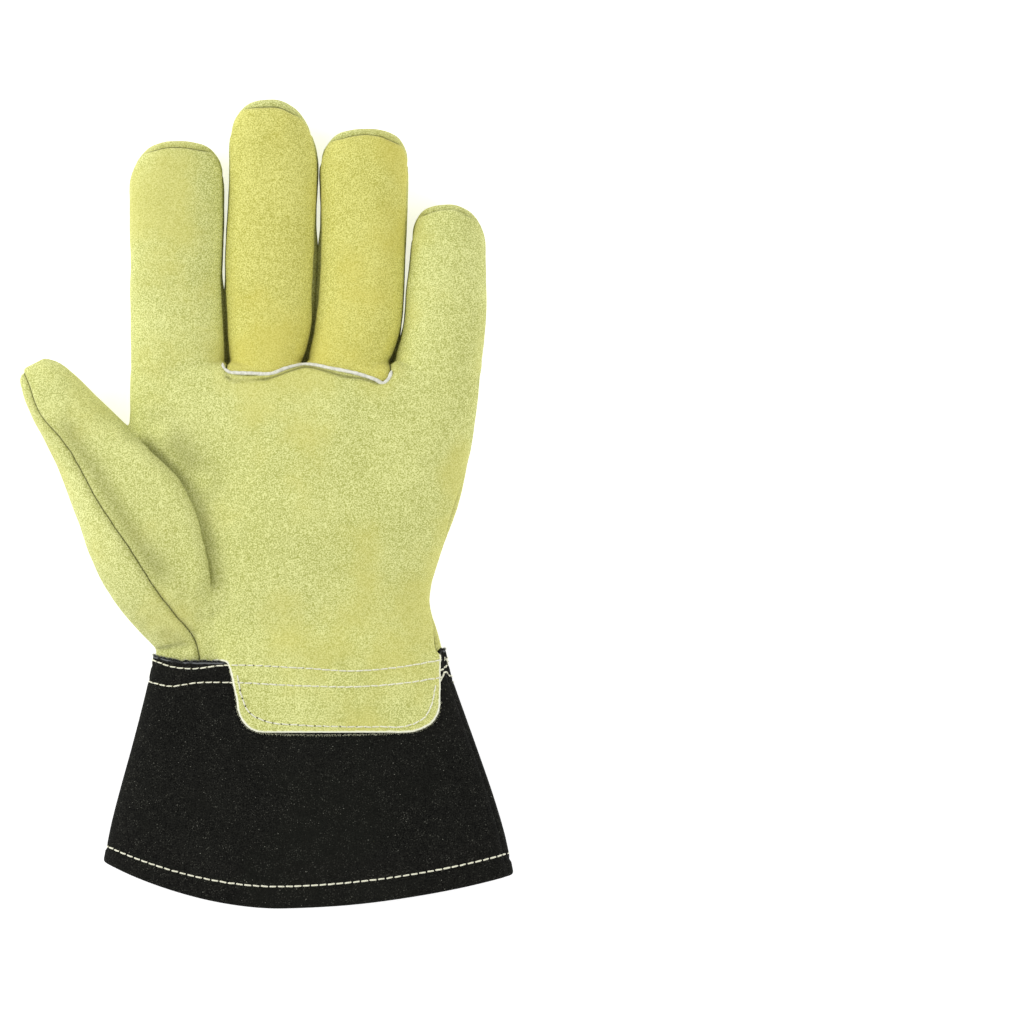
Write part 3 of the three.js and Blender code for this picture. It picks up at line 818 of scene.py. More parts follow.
@dataclass
class Finger(Sectioned):
    """One finger, a tube that lies beside its neighbours."""

    length: float
    width: float
    rows: tuple[FingerRow, ...]
    fork: float = PALM_LENGTH
    depth: float = 21.0
    root: float = 15.0
    root_inset: float = 7.0
    left_tip: tuple[float, float] = (17.0, 2.5)
    right_tip: tuple[float, float] = (17.0, 2.5)
    side_fullness: float = 2.3
    low_fullness: float = 2.6
    widest: float = 0.45
    front_level: float = 11.0
    back_level: float = 3.8
    tip_level: float = 15.9
    seam_lean: float = 0.05
    squeeze: tuple[float, float] = (0.9, 0.9)

    def __post_init__(self) -> None:
        """Makes the table's curves, and one for the depth."""
        super().__post_init__()
        self.curves["deep"] = Spline([0, 0.2, 0.5, 1], [1.15, 1.04, 1.0, 0.97])

    @property
    def tip(self) -> float:
        """Where the finger ends."""
        return self.fork + self.length

    def edges(self, y: Any) -> tuple[Any, Any]:
        """Left and right side of the finger, without its rounded tip."""
        along = np.clip((y - self.fork) / self.length, 0.0, 1.0)
        centre = self.curves["centre"](along) * PALM_WIDTH
        half = self.curves["width"](along) * self.width / 2
        return centre - half, centre + half

    def ring(self, y: float, turn: Points) -> Points:
        """Section of the finger, squeezed away from its neighbours."""
        left, right = self.edges(y)
        left, right = left + self.squeeze[0], right - self.squeeze[1]
        centre, half = (left + right) / 2, (right - left) / 2
        along = np.clip((y - self.fork) / self.length, 0.0, 1.0)
        tips = (self.left_tip, self.right_tip)
        left, right = (roundness(max(0.0, 1 - (self.tip - y) / reach), power) for reach, power in tips)
        full = max(left, right)
        tall = self.curves["deep"](along) * self.depth
        middle = self.widest * tall
        inset = self.root_inset * (max(0.0, self.fork - y) / self.root) ** 2
        share = np.cos(turn)
        rise = (tall - middle - inset) * full * roundness(share, self.side_fullness)
        drop = (middle + 0.02 * tall) * full * roundness(share, self.low_fullness)
        z = np.where(np.sin(turn) >= 0, middle + rise, middle - drop)
        x = centre + (half - inset) * share * np.where(share < 0, left, right)
        return np.stack([x, np.full_like(x, y), np.maximum(z, 0.0)], axis=1)

    def shell(self) -> Shell:
        """Closed shell of the finger."""
        turn = full_turn(110)
        reach = max(self.left_tip[0], self.right_tip[0])
        body = np.linspace(self.fork - self.root, self.tip - reach, 60)
        end = self.tip - reach * (1 - np.sin(np.linspace(0, 0.497, 30)[1:] * np.pi))
        return tube_shell([self.ring(y, turn) for y in (*body, *end)])

    def widened(self, x: Points, y: Points) -> Points:
        """X of places on the squeezed finger, spread to its real width."""
        left, right = self.edges(y)
        narrow = (right - self.squeeze[1]) - (left + self.squeeze[0])
        spread = left + (x - left - self.squeeze[0]) * (right - left) / narrow
        return lerp(x, spread, smooth((y - self.fork + 3.0) / 7.0))

    def front_seam(self, y: Any) -> Any:
        """Level of the seam beside the finger's front, which rises at the tip."""
        return lerp(self.front_level, self.tip_level, smooth((y - self.tip + 5.0) / 2.0))

    def back_seam(self, y: Any) -> Any:
        """Level of the seam beside the finger's back, which meets the other one near the tip."""
        return lerp(self.back_level, self.front_seam(y), smooth((y - self.tip + 22.0) / 17.0))


@dataclass
class Thumb(Sectioned):
    """Thumb, a tube that leans out from the wrist and lies over the palm's side."""

    length: float = 115.0
    width: float = 41.0
    depth: float = 34.0
    lean: float = 29.6
    twist: float = 10.0
    widest: float = 0.45
    side_fullness: float = 2.3
    low_fullness: float = 2.6
    foot: PlanPoint = PlanPoint(-0.311, 0.05)
    under_level: float = 10.2
    rows: tuple[ThumbRow, ...] = table(
        ThumbRow, (0.0, -0.01, 0.345, 0.1, 0.66, 0), (0.146, 0.1, 0.582, 0.11, 0.92, 0),
        (0.308, 0.11, 0.583, 0.1, 1.02, 0), (0.469, 0.169, 0.561, 0.1, 1.01, 0),
        (0.602, 0.141, 0.464, 0.09, 0.93, 0), (0.724, 0.068, 0.361, 0.08, 0.82, 2),
        (0.835, 0.022, 0.303, 0.09, 0.72, 5), (0.93, -0.008, 0.238, 0.13, 0.63, 10),
        (0.98, -0.02, 0.172, 0.2, 0.54, 14), (1.0, -0.03, 0.12, 0.28, 0.46, 16),
    )
    seam: tuple[PlanPoint, ...] = table(
        PlanPoint, (-0.3, -0.2), (-0.3, 0.0), (-0.317, 0.069), (-0.346, 0.113), (-0.4, 0.192),
        (-0.503, 0.384), (-0.569, 0.494), (-0.694, 0.741), (-0.749, 0.816), (-0.794, 0.943),
        (-0.83, 1.02),
    )
    under_seam: tuple[PlanPoint, ...] = table(
        PlanPoint, (-0.34, -0.2), (-0.34, 0.0), (-0.328, 0.11), (-0.365, 0.24), (-0.425, 0.38),
        (-0.455, 0.55), (-0.475, 0.7), (-0.54, 0.86), (-0.63, 1.02),
    )
    crease: tuple[PlanPoint, ...] = table(
        PlanPoint, (-0.489, 0.768), (-0.448, 0.71), (-0.394, 0.651), (-0.357, 0.604), (-0.3286, 0.545),
        (-0.303, 0.473), (-0.286, 0.394), (-0.2746, 0.336), (-0.266, 0.27), (-0.262, 0.19),
    )
    valley: tuple[PlanPoint, ...] = table(
        PlanPoint, (-0.711, 0.857), (-0.654, 0.737), (-0.583, 0.617), (-0.526, 0.497), (-0.469, 0.394),
        (-0.42, 0.309), (-0.371, 0.2),
    )
    heel: tuple[PlanPoint, ...] = table(
        PlanPoint, (-0.43, 0.09), (-0.39, 0.06), (-0.34, 0.03), (-0.3, 0.02),
    )

    def ring(self, along: float, turn: Points) -> Points:
        """Section of the thumb at a share of its length."""
        lean = math.radians(self.lean)
        ahead = np.array([-math.sin(lean), math.cos(lean)])
        sideways = np.array([ahead[1], -ahead[0]])
        foot = np.array([self.foot.across * PALM_WIDTH, self.foot.along * PALM_LENGTH])
        place = foot + ahead * along * self.length + sideways * self.curves["aside"](along) * self.width
        angle = math.radians(self.twist + self.curves["turn"](along))
        half = self.curves["half"](along) * self.width
        low, top = (self.curves[name](along) * self.depth for name in ("low", "top"))
        middle = lerp(low, top, self.widest)
        share = np.cos(turn)
        rise = (top - middle) * roundness(share, self.side_fullness)
        drop = (middle - low) * roundness(share, self.low_fullness)
        z = np.where(np.sin(turn) >= 0, middle + rise, middle - drop)
        x = place[0] + half * share * math.cos(angle)
        y = place[1] + half * share * math.sin(angle)
        return np.stack([x, y, np.maximum(z, 0.0)], axis=1)

    def shell(self) -> Shell:
        """Closed shell of the thumb."""
        turn = full_turn(120)
        return tube_shell([self.ring(along, turn) for along in np.linspace(0.0, 1.0, 110)])

    def plan(self, rows: Sequence[PlanPoint]) -> Points:
        """Fine line in plan through one of the thumb's tables."""
        return softened(plan_points(rows), 40)

    def beyond(self, rows: Sequence[PlanPoint], x: Points, y: Points) -> Points:
        """Whether places lie on the thumb's side of a seam drawn in plan."""
        line = plan_points(rows)
        return x < Spline(line[:, 1], line[:, 0])(y)


FINGERS = (
    # Index finger
    Finger(
        80.5,
        34.2,
        table(
            FingerRow, (0, -0.363, 0.985), (0.2, -0.3655, 0.967), (0.42, -0.3675, 0.957),
            (0.68, -0.365, 0.983), (1, -0.3635, 0.99),
        ),
        left_tip=(19.5, 2.3),
        right_tip=(16.5, 2.45),
        seam_lean=-0.05,
        squeeze=(0.0, 0.9),
    ),
    # Middle finger
    Finger(
        94.8,
        31.7,
        table(
            FingerRow, (0, -0.109, 0.78), (0.1, -0.1, 0.9), (0.3, -0.0985, 0.985), (0.65, -0.09, 0.995),
            (1, -0.0885, 1.005),
        ),
        left_tip=(18.0, 2.5),
        right_tip=(26.0, 2.0),
        seam_lean=0.16,
    ),
    # Ring finger
    Finger(
        84.1,
        31.7,
        table(
            FingerRow, (0, 0.126, 0.9), (0.12, 0.149, 0.955), (0.35, 0.164, 0.955),
            (0.7, 0.1715, 0.985), (1, 0.172, 1.0),
        ),
        left_tip=(18.0, 2.6),
        right_tip=(16.0, 2.8),
    ),
    # Little finger
    Finger(
        57.4,
        28.0,
        table(
            FingerRow, (0, 0.383, 1.12), (0.16, 0.397, 1.06), (0.5, 0.408, 1.01), (0.8, 0.413, 0.95),
            (1, 0.4165, 0.93),
        ),
        left_tip=(17.5, 3.2),
        right_tip=(16.0, 1.95),
        squeeze=(0.9, 0.0),
    ),
)


@dataclass
class Welt:
    """White welt between the palm and the two middle fingers."""

    thick: float = 1.35
    rows: tuple[PlanPoint, ...] = table(
        PlanPoint, (-0.2295, 0.999), (-0.2275, 0.982), (-0.213, 0.969), (-0.19, 0.9655), (-0.15, 0.964),
        (-0.089, 0.9635), (-0.05, 0.981), (0.01, 0.995), (0.075, 0.982), (0.157, 0.9615),
        (0.205, 0.9425), (0.229, 0.93), (0.244, 0.947), (0.252, 0.973),
    )
    lip: tuple[PlanPoint, ...] = table(
        PlanPoint, (-0.227, 0.967), (-0.2055, 0.941), (-0.168, 0.939), (-0.097, 0.9475),
        (-0.04, 0.9705), (0.011, 0.9855), (0.06, 0.973), (0.114, 0.955), (0.177, 0.943), (0.229, 0.922),
    )

    def line(self) -> Points:
        """Fine line of the welt in plan."""
        return softened(plan_points(self.rows), 160)

    def lip_line(self) -> Points:
        """Fine line of the fold of the palm under the welt, in plan."""
        return softened(plan_points(self.lip), 60)

    def below(self, x: Points) -> Points:
        """Y of the welt over places across the palm."""
        line = self.line()
        order = np.argsort(line[:, 0])
        return np.interp(x, line[order, 0], line[order, 1])


@dataclass(frozen=True)
class Crease:
    """Crease in the leather, drawn in plan, which may have a fold that hangs over it, with painted shade in
    the crease and a painted shadow beside it.
    """

    line: Points
    deep: float
    wide: float
    # strength of the painted shade along the crease's line
    painted_line_shade: float = 0.0
    centre: float = 0.0
    puff: float = 0.0
    hollow: float = 0.0
    lean: float = 0.0
    # strength of the broader painted shadow beside the crease
    painted_shadow: float = 0.0
    fade: float = 5.0

    def faded(self, places: Points) -> Points:
        """How strong the crease is at places, which fades towards its two ends."""
        ends = [np.hypot(*(places[:, :2] - end).T) for end in (self.line[0], self.line[-1])]
        return smooth(np.minimum(*ends) / self.fade)

    def rise(self, offset: Points) -> Points:
        """How far the leather rises at offsets from the line."""
        groove = -self.deep * bell(offset - self.centre, self.wide)
        fold = self.puff * bell(offset + 3.4, 3.2) * (offset < 0)
        return groove + fold - self.hollow * bell(offset - 3.0, 5.0) * (offset > 0)

    def tint(self, offset: Points) -> Points:
        """Painted shade at offsets from the line: a thin dark line in the crease and a broader painted
        shadow beside it.
        """
        line = self.painted_line_shade * bell(offset - self.centre, 0.5)
        return np.maximum(line, self.painted_shadow * bell(offset - 2 * self.centre, 2.2 + 0.6 * self.wide))

    def shift(self, offset: Points) -> Points:
        """How far the fold hangs over the line at offsets from it."""
        return self.lean * bell(offset, 2.2) * (offset < 0)

    def leftward(self) -> Points:
        """Direction in plan from the line to its left."""
        run = self.line[-1] - self.line[0]
        return np.array([-run[1], run[0]]) / np.hypot(*run)


@dataclass
class Leather:
    """Yellow split leather skin of the hand, fingers, thumb and tab, cut into its panels."""

    hand: Hand
    fingers: tuple[Finger, ...]
    thumb: Thumb
    welt: Welt
    wall: float = 1.3
    grain: float = 0.8
    seam_gap: float = 0.12
    seam_depth: float = 0.95
    seam_width: float = 0.95
    seam_puff: float = 0.3
    bulge_level: float = 7.2
    bulge_height: float = 3.3
    bulge_reach: tuple[float, float, float] = (22.0, 40.0, 6.0)
    tab_start: float = -2.2
    tab_margin: float = 5.6
    tab_side: float = 0.97
    wrist_end: float = 1.8
    rim_side: float = 40.0
    rim_level: float = 9.0
    swell_height: float = 0.55
    swell_size: float = 34.0
    pucker_height: float = 0.16
    pucker_size: float = 9.0
    palm_folds: tuple[Corners, ...] = (
        # The first is mostly a painted shadow beside the thumb, over a shallow dip.
        ((-52.0, 81.0), (-43.0, 73.0), (-36.0, 62.0)),
        ((-8.0, 80.0), (14.0, 74.0), (36.0, 66.0)),
        ((4.0, 66.0), (22.0, 62.0), (40.0, 52.0)),
        ((-26.0, 62.0), (-20.0, 50.0), (-19.0, 36.0)),
    )
    skin: Skin = field(init=False)
    labels: Points = field(init=False)
    seam: Points = field(init=False)
    cut: Points = field(init=False)
    # painted shade at each point, in the creases and pleats
    shade: Points = field(init=False)

    def build(self, shop: Workshop) -> None:
        """Makes the whole skin, smooths it, finds its seams and shapes its folds.

        Args:
            shop: makes the meshes.
        """
        shells = [self.hand.shell(), self.thumb.shell(), *(finger.shell() for finger in self.fingers)]
        self.skin = shop.union(shells, self.grain)
        pairs, _ = self.skin.edges()
        for share in (0.6, -0.62) * 3 + (0.5, 0.5):
            self.skin.relax(pairs, 1, share)
        self.spread_fingers()
        self.labels = self.sorted_faces()
        self.tidy_labels()
        self.even_seams()
        self.press_folds()

    def spread_fingers(self) -> None:
        """Spreads the squeezed fingers to their real width, and lets the strips between them bulge."""
        points = self.skin.points
        y, z = points[:, 1], points[:, 2]
        lanes = self.lanes(y)
        which = sum((points[:, 0] > lane).astype(int) for lane in lanes)
        for number, finger in enumerate(self.fingers):
            own = (which == number) & (y > finger.fork - 3.0)
            points[own, 0] = finger.widened(points[own, 0], y[own])
        bulge = bell(z - self.bulge_level, self.bulge_height)
        for number, (lane, reach) in enumerate(zip(lanes, self.bulge_reach)):
            held = bulge * (1 - smooth((y - self.hand.fork() - reach) / 12.0))
            for owner, way in ((number, -1), (number + 1, 1)):
                left, right = self.fingers[owner].edges(y)
                from_side = way * (points[:, 0] - (right if way < 0 else left)) / (right - left)
                weight = held * smooth((0.14 - from_side) / 0.12)
                own = (which == owner) & (y > self.hand.fork() - 3.0)
                points[own, 0] = lerp(points[own, 0], lane[own] + way * 0.1, weight[own])

    def lanes(self, y: Any) -> list[Any]:
        """Middle of each gap between two fingers."""
        found = []
        for near, far in zip(self.fingers[:-1], self.fingers[1:]):
            found.append((near.edges(y)[1] + far.edges(y)[0]) / 2)
        return found

    def sorted_faces(self) -> Points:
        """Panel that each face belongs to."""
        middles = self.skin.middles()
        x, y, z = middles.T
        labels = np.full(len(middles), int(Panel.PALM))
        upper = z > self.hand.widest * self.hand.depth * self.hand.curves["top"](y / self.hand.length)

        left_back = (x < 0) & (z < self.fingers[0].back_level)
        peek = 14.2 + 4.0 * bell(y - 52.0, 9.0) + 3.5 * bell(y - 3.0, 5.0)
        right_back = (x >= 0) & (z < peek)
        labels[left_back | right_back] = Panel.BACK

        lanes = self.lanes(y)
        which = sum((x > lane).astype(int) for lane in lanes)
        strips = (Panel.STRIP_INDEX_MIDDLE, Panel.STRIP_MIDDLE_RING, Panel.STRIP_RING_LITTLE)
        above_fork = y > self.hand.fork() - 5.0
        for number, finger in enumerate(self.fingers):
            own = above_fork & (which == number)
            left, right = finger.edges(y)
            centre = (left + right) / 2
            front, back = finger.front_seam(y + finger.seam_lean * (x - centre)), finger.back_seam(y)
            labels[own & (z >= front)] = Panel.PALM
            labels[own & (z < front)] = Panel.BACK
            if number == 0:
                labels[own & (x < centre) & (z >= back) & (z < front)] = Panel.PALM
            between = own & (z < front) & (z > back) & (y < finger.tip - 7.0)
            if number > 0:
                labels[between & (x < centre)] = strips[number - 1]
            if number < 3:
                labels[between & (x >= centre)] = strips[number]
        fronts = (z > self.fingers[1].front_level) & (y > self.welt.below(x))
        for number, panel in ((1, Panel.MIDDLE_FRONT), (2, Panel.RING_FRONT)):
            finger = self.fingers[number]
            leaned = y + finger.seam_lean * (x - sum(finger.edges(y)) / 2)
            own = fronts & (which == number) & ((z >= finger.front_seam(leaned)) | (y < finger.fork))
            labels[own] = panel

        on_thumb = self.thumb.beyond(self.thumb.seam, x, y) & (x < -30)
        under = self.thumb.beyond(self.thumb.under_seam, x, y) & (z < self.thumb.under_level)
        labels[on_thumb | under] = Panel.THUMB_BACK
        labels[self.cut_off(middles, upper)] = Panel.OFF
        return labels

    def cut_off(self, middles: Points, upper: Points) -> Points:
        """Faces past the ends of the leather: beyond the lap in the cuff and round the tab.

        Args:
            middles: middles of the faces.
            upper: which of them are on the palm side.

        Returns:
            Which faces go.
        """
        x, y, _ = middles.T
        outline = self.hand.tab.outline()
        tab = upper & inside(middles, outline)
        near = (y < self.tab_start) & (np.abs(plan_offset(middles, outline)) < self.tab_margin)
        beside = (y < self.wrist_end) & (x > self.tab_side * self.hand.tab.right)
        lap_end = y < -self.hand.lap
        off = upper & (lap_end | near | beside) & ~tab
        rim = (y < self.wrist_end) & (x > self.rim_side) & (middles[:, 2] > self.rim_level) & ~tab
        return off | (~upper & lap_end) | rim

    def tidy_labels(self) -> None:
        """Gives stray faces the panel of their neighbours."""
        _, beside = self.skin.edges()
        beside = beside[np.all(beside >= 0, axis=1)]
        for _ in range(4):
            votes = np.zeros((len(self.labels), len(Panel)))
            for near, far in ((0, 1), (1, 0)):
                np.add.at(votes, (beside[:, near], self.labels[beside[:, far]] + 1), 1)
            strong = votes.max(axis=1) >= 3
            self.labels[strong] = votes.argmax(axis=1)[strong] - 1
        group = np.arange(len(self.labels))
        for _ in range(600):
            joined = beside[self.labels[beside[:, 0]] == self.labels[beside[:, 1]]]
            least = group.copy()
            np.minimum.at(least, joined[:, 0], group[joined[:, 1]])
            np.minimum.at(least, joined[:, 1], group[joined[:, 0]])
            least = least[least]
            if np.array_equal(least, group):
                break
            group = least
        sizes = np.bincount(group, minlength=len(group))
        for panel in Panel:
            own = self.labels == panel
            if not own.any():
                continue
            biggest = group[own][np.argmax(sizes[group[own]])]
            stray = own & (group != biggest)
            if panel == Panel.OFF:
                stray &= sizes[group] < 40
            for _ in range(40):
                if not stray.any():
                    break
                edge = stray[beside[:, 0]] != stray[beside[:, 1]]
                pair = beside[edge]
                swap = stray[pair[:, 1]]
                pair[swap] = pair[swap][:, ::-1]
                self.labels[pair[:, 0]] = self.labels[pair[:, 1]]
                stray[pair[:, 0]] = False

    def even_seams(self) -> None:
        """Straightens the stepped borders between panels and measures how near each point is."""
        pairs, beside = self.skin.edges()
        surface = BVHTree.FromPolygons(self.skin.points.tolist(), self.skin.faces.tolist())
        known = np.where(beside >= 0, self.labels[beside], int(Panel.OFF))
        border = pairs[known[:, 0] != known[:, 1]]
        sewn = known[:, 0] != known[:, 1]
        sewn &= np.all(known != Panel.OFF, axis=1)
        size = len(self.skin.points)
        ends = np.bincount(border.ravel(), minlength=size)
        self.skin.relax(border, 14, 0.5, held=ends != 2)
        on_border = ends > 0
        before = self.skin.points.copy()
        near = np.zeros(size, bool)
        near[on_border] = True
        for _ in range(3):
            near[pairs[near[pairs[:, 0]], 1]] = True
            near[pairs[near[pairs[:, 1]], 0]] = True
        local = pairs[near[pairs[:, 0]] & near[pairs[:, 1]]]
        fixed = on_border | ~near
        self.skin.relax(local, 4, 0.5, held=fixed)
        for index in np.flatnonzero(near):
            found = surface.find_nearest(Vector(self.skin.points[index]))[0]
            self.skin.points[index] = found if found is not None else before[index]
        self.seam = self.reach(np.unique(pairs[sewn]), 8.0)
        free = (known[:, 0] != known[:, 1]) & ~sewn
        self.cut = self.reach(np.unique(pairs[free]), 8.0)

    def reach(self, chosen: Points, most: float) -> Points:
        """Distance from every point of the skin to the nearest chosen one.

        Args:
            chosen: numbers of the points to measure to.
            most: distances beyond this are all the same.

        Returns:
            A distance for each point.
        """
        tree = KDTree(len(chosen))
        for number, index in enumerate(chosen):
            tree.insert(self.skin.points[index], number)
        tree.balance()
        low = self.skin.points[chosen].min(axis=0) - most
        high = self.skin.points[chosen].max(axis=0) + most
        within = np.all((self.skin.points > low) & (self.skin.points < high), axis=1)
        found = np.full(len(self.skin.points), most)
        for index in np.flatnonzero(within):
            found[index] = min(most, tree.find(self.skin.points[index])[2])
        return found

    def press_folds(self) -> None:
        """Sinks the seams, puffs the leather beside them and adds its creases and unevenness, and works out
        the painted shade in the pleats and creases.
        """
        points = self.skin.points
        normals = self.skin.normals()
        push = -self.seam_depth * bell(self.seam, self.seam_width)
        push += self.seam_puff * bell(self.seam - 2.9, 1.7)
        x, y = points[:, 0], points[:, 1]
        facing_up = smooth(normals[:, 2] / 0.4)
        facing_down = smooth(-normals[:, 2] / 0.4)
        soft = 1 - 0.85 * facing_down
        push += self.swell_height * ripple(points, self.swell_size, 5.1) * soft
        push += self.pucker_height * ripple(points, self.pucker_size, 9.4) * soft
        drawn, pleat = self.hand.pleats(x, y)
        # Painted shade in the valleys of the pleats at the back of the wrist.
        self.shade = 0.5 * facing_down * drawn * pleat
        aside = np.zeros_like(points)
        for crease in self.creases():
            offset = plan_offset(points, crease.line)
            strength = facing_up * crease.faded(points)
            push += crease.rise(offset) * strength
            self.shade = np.maximum(self.shade, crease.tint(offset) * strength)
            aside[:, :2] += (crease.shift(offset) * strength)[:, None] * crease.leftward()
        self.skin.points = points + normals * push[:, None] + aside
        self.skin.points[:, 2] = np.maximum(self.skin.points[:, 2], 0.0)

    def creases(self) -> list[Crease]:
        """Creases and folds of the leather, each drawn in plan, with the painted shade and painted shadows
        they carry.
        """
        root = self.thumb.plan(self.thumb.crease)
        valley = self.thumb.plan(self.thumb.valley)
        heel = self.thumb.plan(self.thumb.heel)
        beside, high, low, upright = (softened(np.array(corners), 30) for corners in self.palm_folds)
        return [
            # The welt's lip, the thumb's root, valley and heel, and the place beside the thumb carry
            # painted shade and painted shadow.
            Crease(self.welt.lip_line(), 0.55, 0.6, painted_line_shade=0.75, fade=3.0),
            Crease(
                root, 2.3, 0.9, painted_line_shade=0.55, centre=0.7, puff=1.1, hollow=1.5, lean=0.9, painted_shadow=0.3, fade=9.0
            ),
            Crease(valley, 1.1, 4.2, painted_shadow=0.34, fade=12.0),
            Crease(heel, 0.4, 2.4, painted_shadow=0.12, fade=6.0),
            Crease(beside, 0.4, 6.5, painted_shadow=0.3, fade=9.0),
            Crease(high, 0.45, 2.4),
            Crease(low, 0.4, 2.6),
            Crease(upright, 0.5, 4.0),
        ]

    def dress(self, shop: Workshop, finishes: Mapping[str, Material]) -> None:
        """Makes each panel a closed piece with its finish, in place of its CAD node.

        Args:
            shop: makes the meshes.
            finishes: materials by slot.
        """
        normals = self.skin.normals()
        for panel, (node, slot) in NODES.items():
            own = self.skin.faces[self.labels == panel]
            used, faces = np.unique(own, return_inverse=True)
            part = Skin(self.skin.points[used].copy(), faces.reshape(-1, 4))
            part_normals = normals[used]
            pairs, beside = part.edges()
            edge = np.unique(pairs[beside[:, 1] < 0])
            inner = np.setdiff1d(np.unique(part.faces), edge)
            inward = np.zeros_like(part.points)
            lies_inside = np.zeros(len(part.points), bool)
            lies_inside[inner] = True
            for near, far in ((0, 1), (1, 0)):
                keep = ~lies_inside[pairs[:, near]] & lies_inside[pairs[:, far]]
                start, end = pairs[keep, near], pairs[keep, far]
                np.add.at(inward, start, part.points[end] - part.points[start])
            size = np.linalg.norm(inward, axis=1, keepdims=True)
            part.points += self.seam_gap * inward / np.maximum(size, 1e-6)
            points, shell = thicken(part, part_normals, self.wall)
            mesh = shop.mesh(node + "_leather", points, shell)
            shop.mark(mesh, "seam", np.tile(self.seam[used], 2))
            shop.mark(mesh, "cut", np.tile(self.cut[used], 2))
            shop.mark(mesh, "shade", np.concatenate([self.shade[used], np.zeros(len(used))]))
            mesh.materials.append(finishes[slot])
            shop.stand_for(node, mesh)


@dataclass
class CuffLeather:
    """The cuff's two pieces of black split leather."""

    cuff: Cuff
    rows: int = 120
    columns: int = 190
    groove: float = 0.28
    seam_gap: float = -0.0012
    stitch_drops: tuple[float, float] = (4.6, 10.9)
    skins: dict[Side, Points] = field(default_factory=dict)

    def turns(self, side: Side) -> Points:
        """Angles round the section that one piece covers, seam to seam."""
        seam = self.cuff.seam_turn
        gap = self.seam_gap
        start, end = seam + gap, math.pi - gap
        if side == Side.BACK:
            start, end = math.pi + gap, 2 * math.pi + seam - gap
        even = np.linspace(0.0, 1.0, self.columns)
        return lerp(start, end, even)

    def build(self, shop: Workshop, finish: Material) -> None:
        """Makes both pieces with their folded hems.

        Args:
            shop: makes the meshes.
            finish: the black suede.
        """
        names = {Side.PALM: "cuff_palm_side", Side.BACK: "cuff_back_side"}
        for side, node in names.items():
            mesh = self.piece(shop, side, node + "_leather")
            mesh.materials.append(finish)
            shop.stand_for(node, mesh)

    def piece(self, shop: Workshop, side: Side, name: str) -> bpy.types.Mesh:
        """One piece: outer face, fold, inner face and sides.

        Args:
            shop: makes the mesh.
            side: the palm side or the back side.
            name: the mesh's name.

        Returns:
            The mesh.
        """
        cuff = self.cuff
        wall = cuff.leather
        fold = wall + cuff.hem_gap / 2
        last = 1.0 - fold / cuff.length
        along = np.linspace(0.0, last, self.rows)
        turns = self.turns(side)
        outer = cuff.sheet(side, along, turns)
        across = np.gradient(outer, axis=1)
        down = np.gradient(outer, axis=0)
        normals = np.cross(down, across)
        normals = unit(normals)
        if normals[0, self.columns // 2, 2] * int(side) < 0:
            normals = -normals
        below = along * cuff.length
        sunk = sum(bell(below - drop, 0.8) for drop in self.stitch_drops)
        hem_row = cuff.length - 6.4
        hem = bell(below - hem_row, 0.9) - 0.9 * smooth((below - hem_row) / 1.5)
        ends = np.minimum(np.arange(self.columns), np.arange(self.columns)[::-1]) / 3.0
        push = -self.groove * sunk[:, None] - self.groove * hem[:, None]
        push = push - 0.5 * bell(ends, 1.0)[None, :]
        outer = outer + normals * push[..., None]
        if side == Side.BACK:
            outer[..., 2] = np.maximum(outer[..., 2], 0.0)
        self.skins[side] = outer
        doubled = smooth((below - cuff.length + cuff.hem_width) / 0.4)
        thick = wall + (wall + cuff.hem_gap) * doubled
        inner = outer - normals * thick[:, None, None]
        ahead = unit(down[-1])
        centre = (outer[-1] + inner[-1]) / 2
        radius = thick[-1] / 2
        arc = [
            centre + radius * (normals[-1] * math.cos(angle) + ahead * math.sin(angle))
            for angle in np.linspace(0, math.pi, 9)[1:-1]
        ]
        lip = [
            outer[0] - normals[0] * wall * share - down[0] * 0.25 * math.sin(math.pi * share)
            for share in (0.75, 0.5, 0.25)
        ]
        loop = np.stack([*outer, *arc, *inner[::-1], *lip])
        rounds, columns = loop.shape[:2]
        index = np.arange(rounds * columns).reshape(rounds, columns)
        after = np.roll(index, -1, axis=0)
        quads = np.stack([index[:, :-1], index[:, 1:], after[:, 1:], after[:, :-1]], axis=-1).reshape(-1, 4)
        starts = [np.roll(index[:, place], 2) for place in (0, columns - 1)]
        rungs, ends = zip(*(ladder(ring) for ring in starts))
        mesh = shop.mesh(name, loop.reshape(-1, 3), quads, np.concatenate(rungs), np.concatenate(ends))
        drop = np.concatenate([below, np.full(7, cuff.length), below[::-1], np.zeros(3)])
        shop.mark(mesh, "cut", np.repeat(drop, columns))
        outward(mesh)
        return mesh


def ladder(ring: Points) -> tuple[Points, Points]:
    """Closes a long thin loop of points with rungs across it.

    Args:
        ring: numbers of the points, from the middle of one short end and round.

    Returns:
        Four-cornered faces and the three-cornered faces of the two ends.
    """
    half = len(ring) // 2
    step = np.arange(1, half - 1)
    rungs = np.stack([ring[step], ring[step + 1], ring[-step - 1], ring[-step]], axis=1)
    tips = np.array([(ring[0], ring[1], ring[-1]), (ring[half - 1], ring[half], ring[half + 1])])
    return rungs, tips


def outward(mesh: bpy.types.Mesh) -> None:
    """Points every face of a closed mesh outwards."""
    work = bmesh.new()
    work.from_mesh(mesh)
    bmesh.ops.recalc_face_normals(work, faces=work.faces)
    work.to_mesh(mesh)
    work.free()


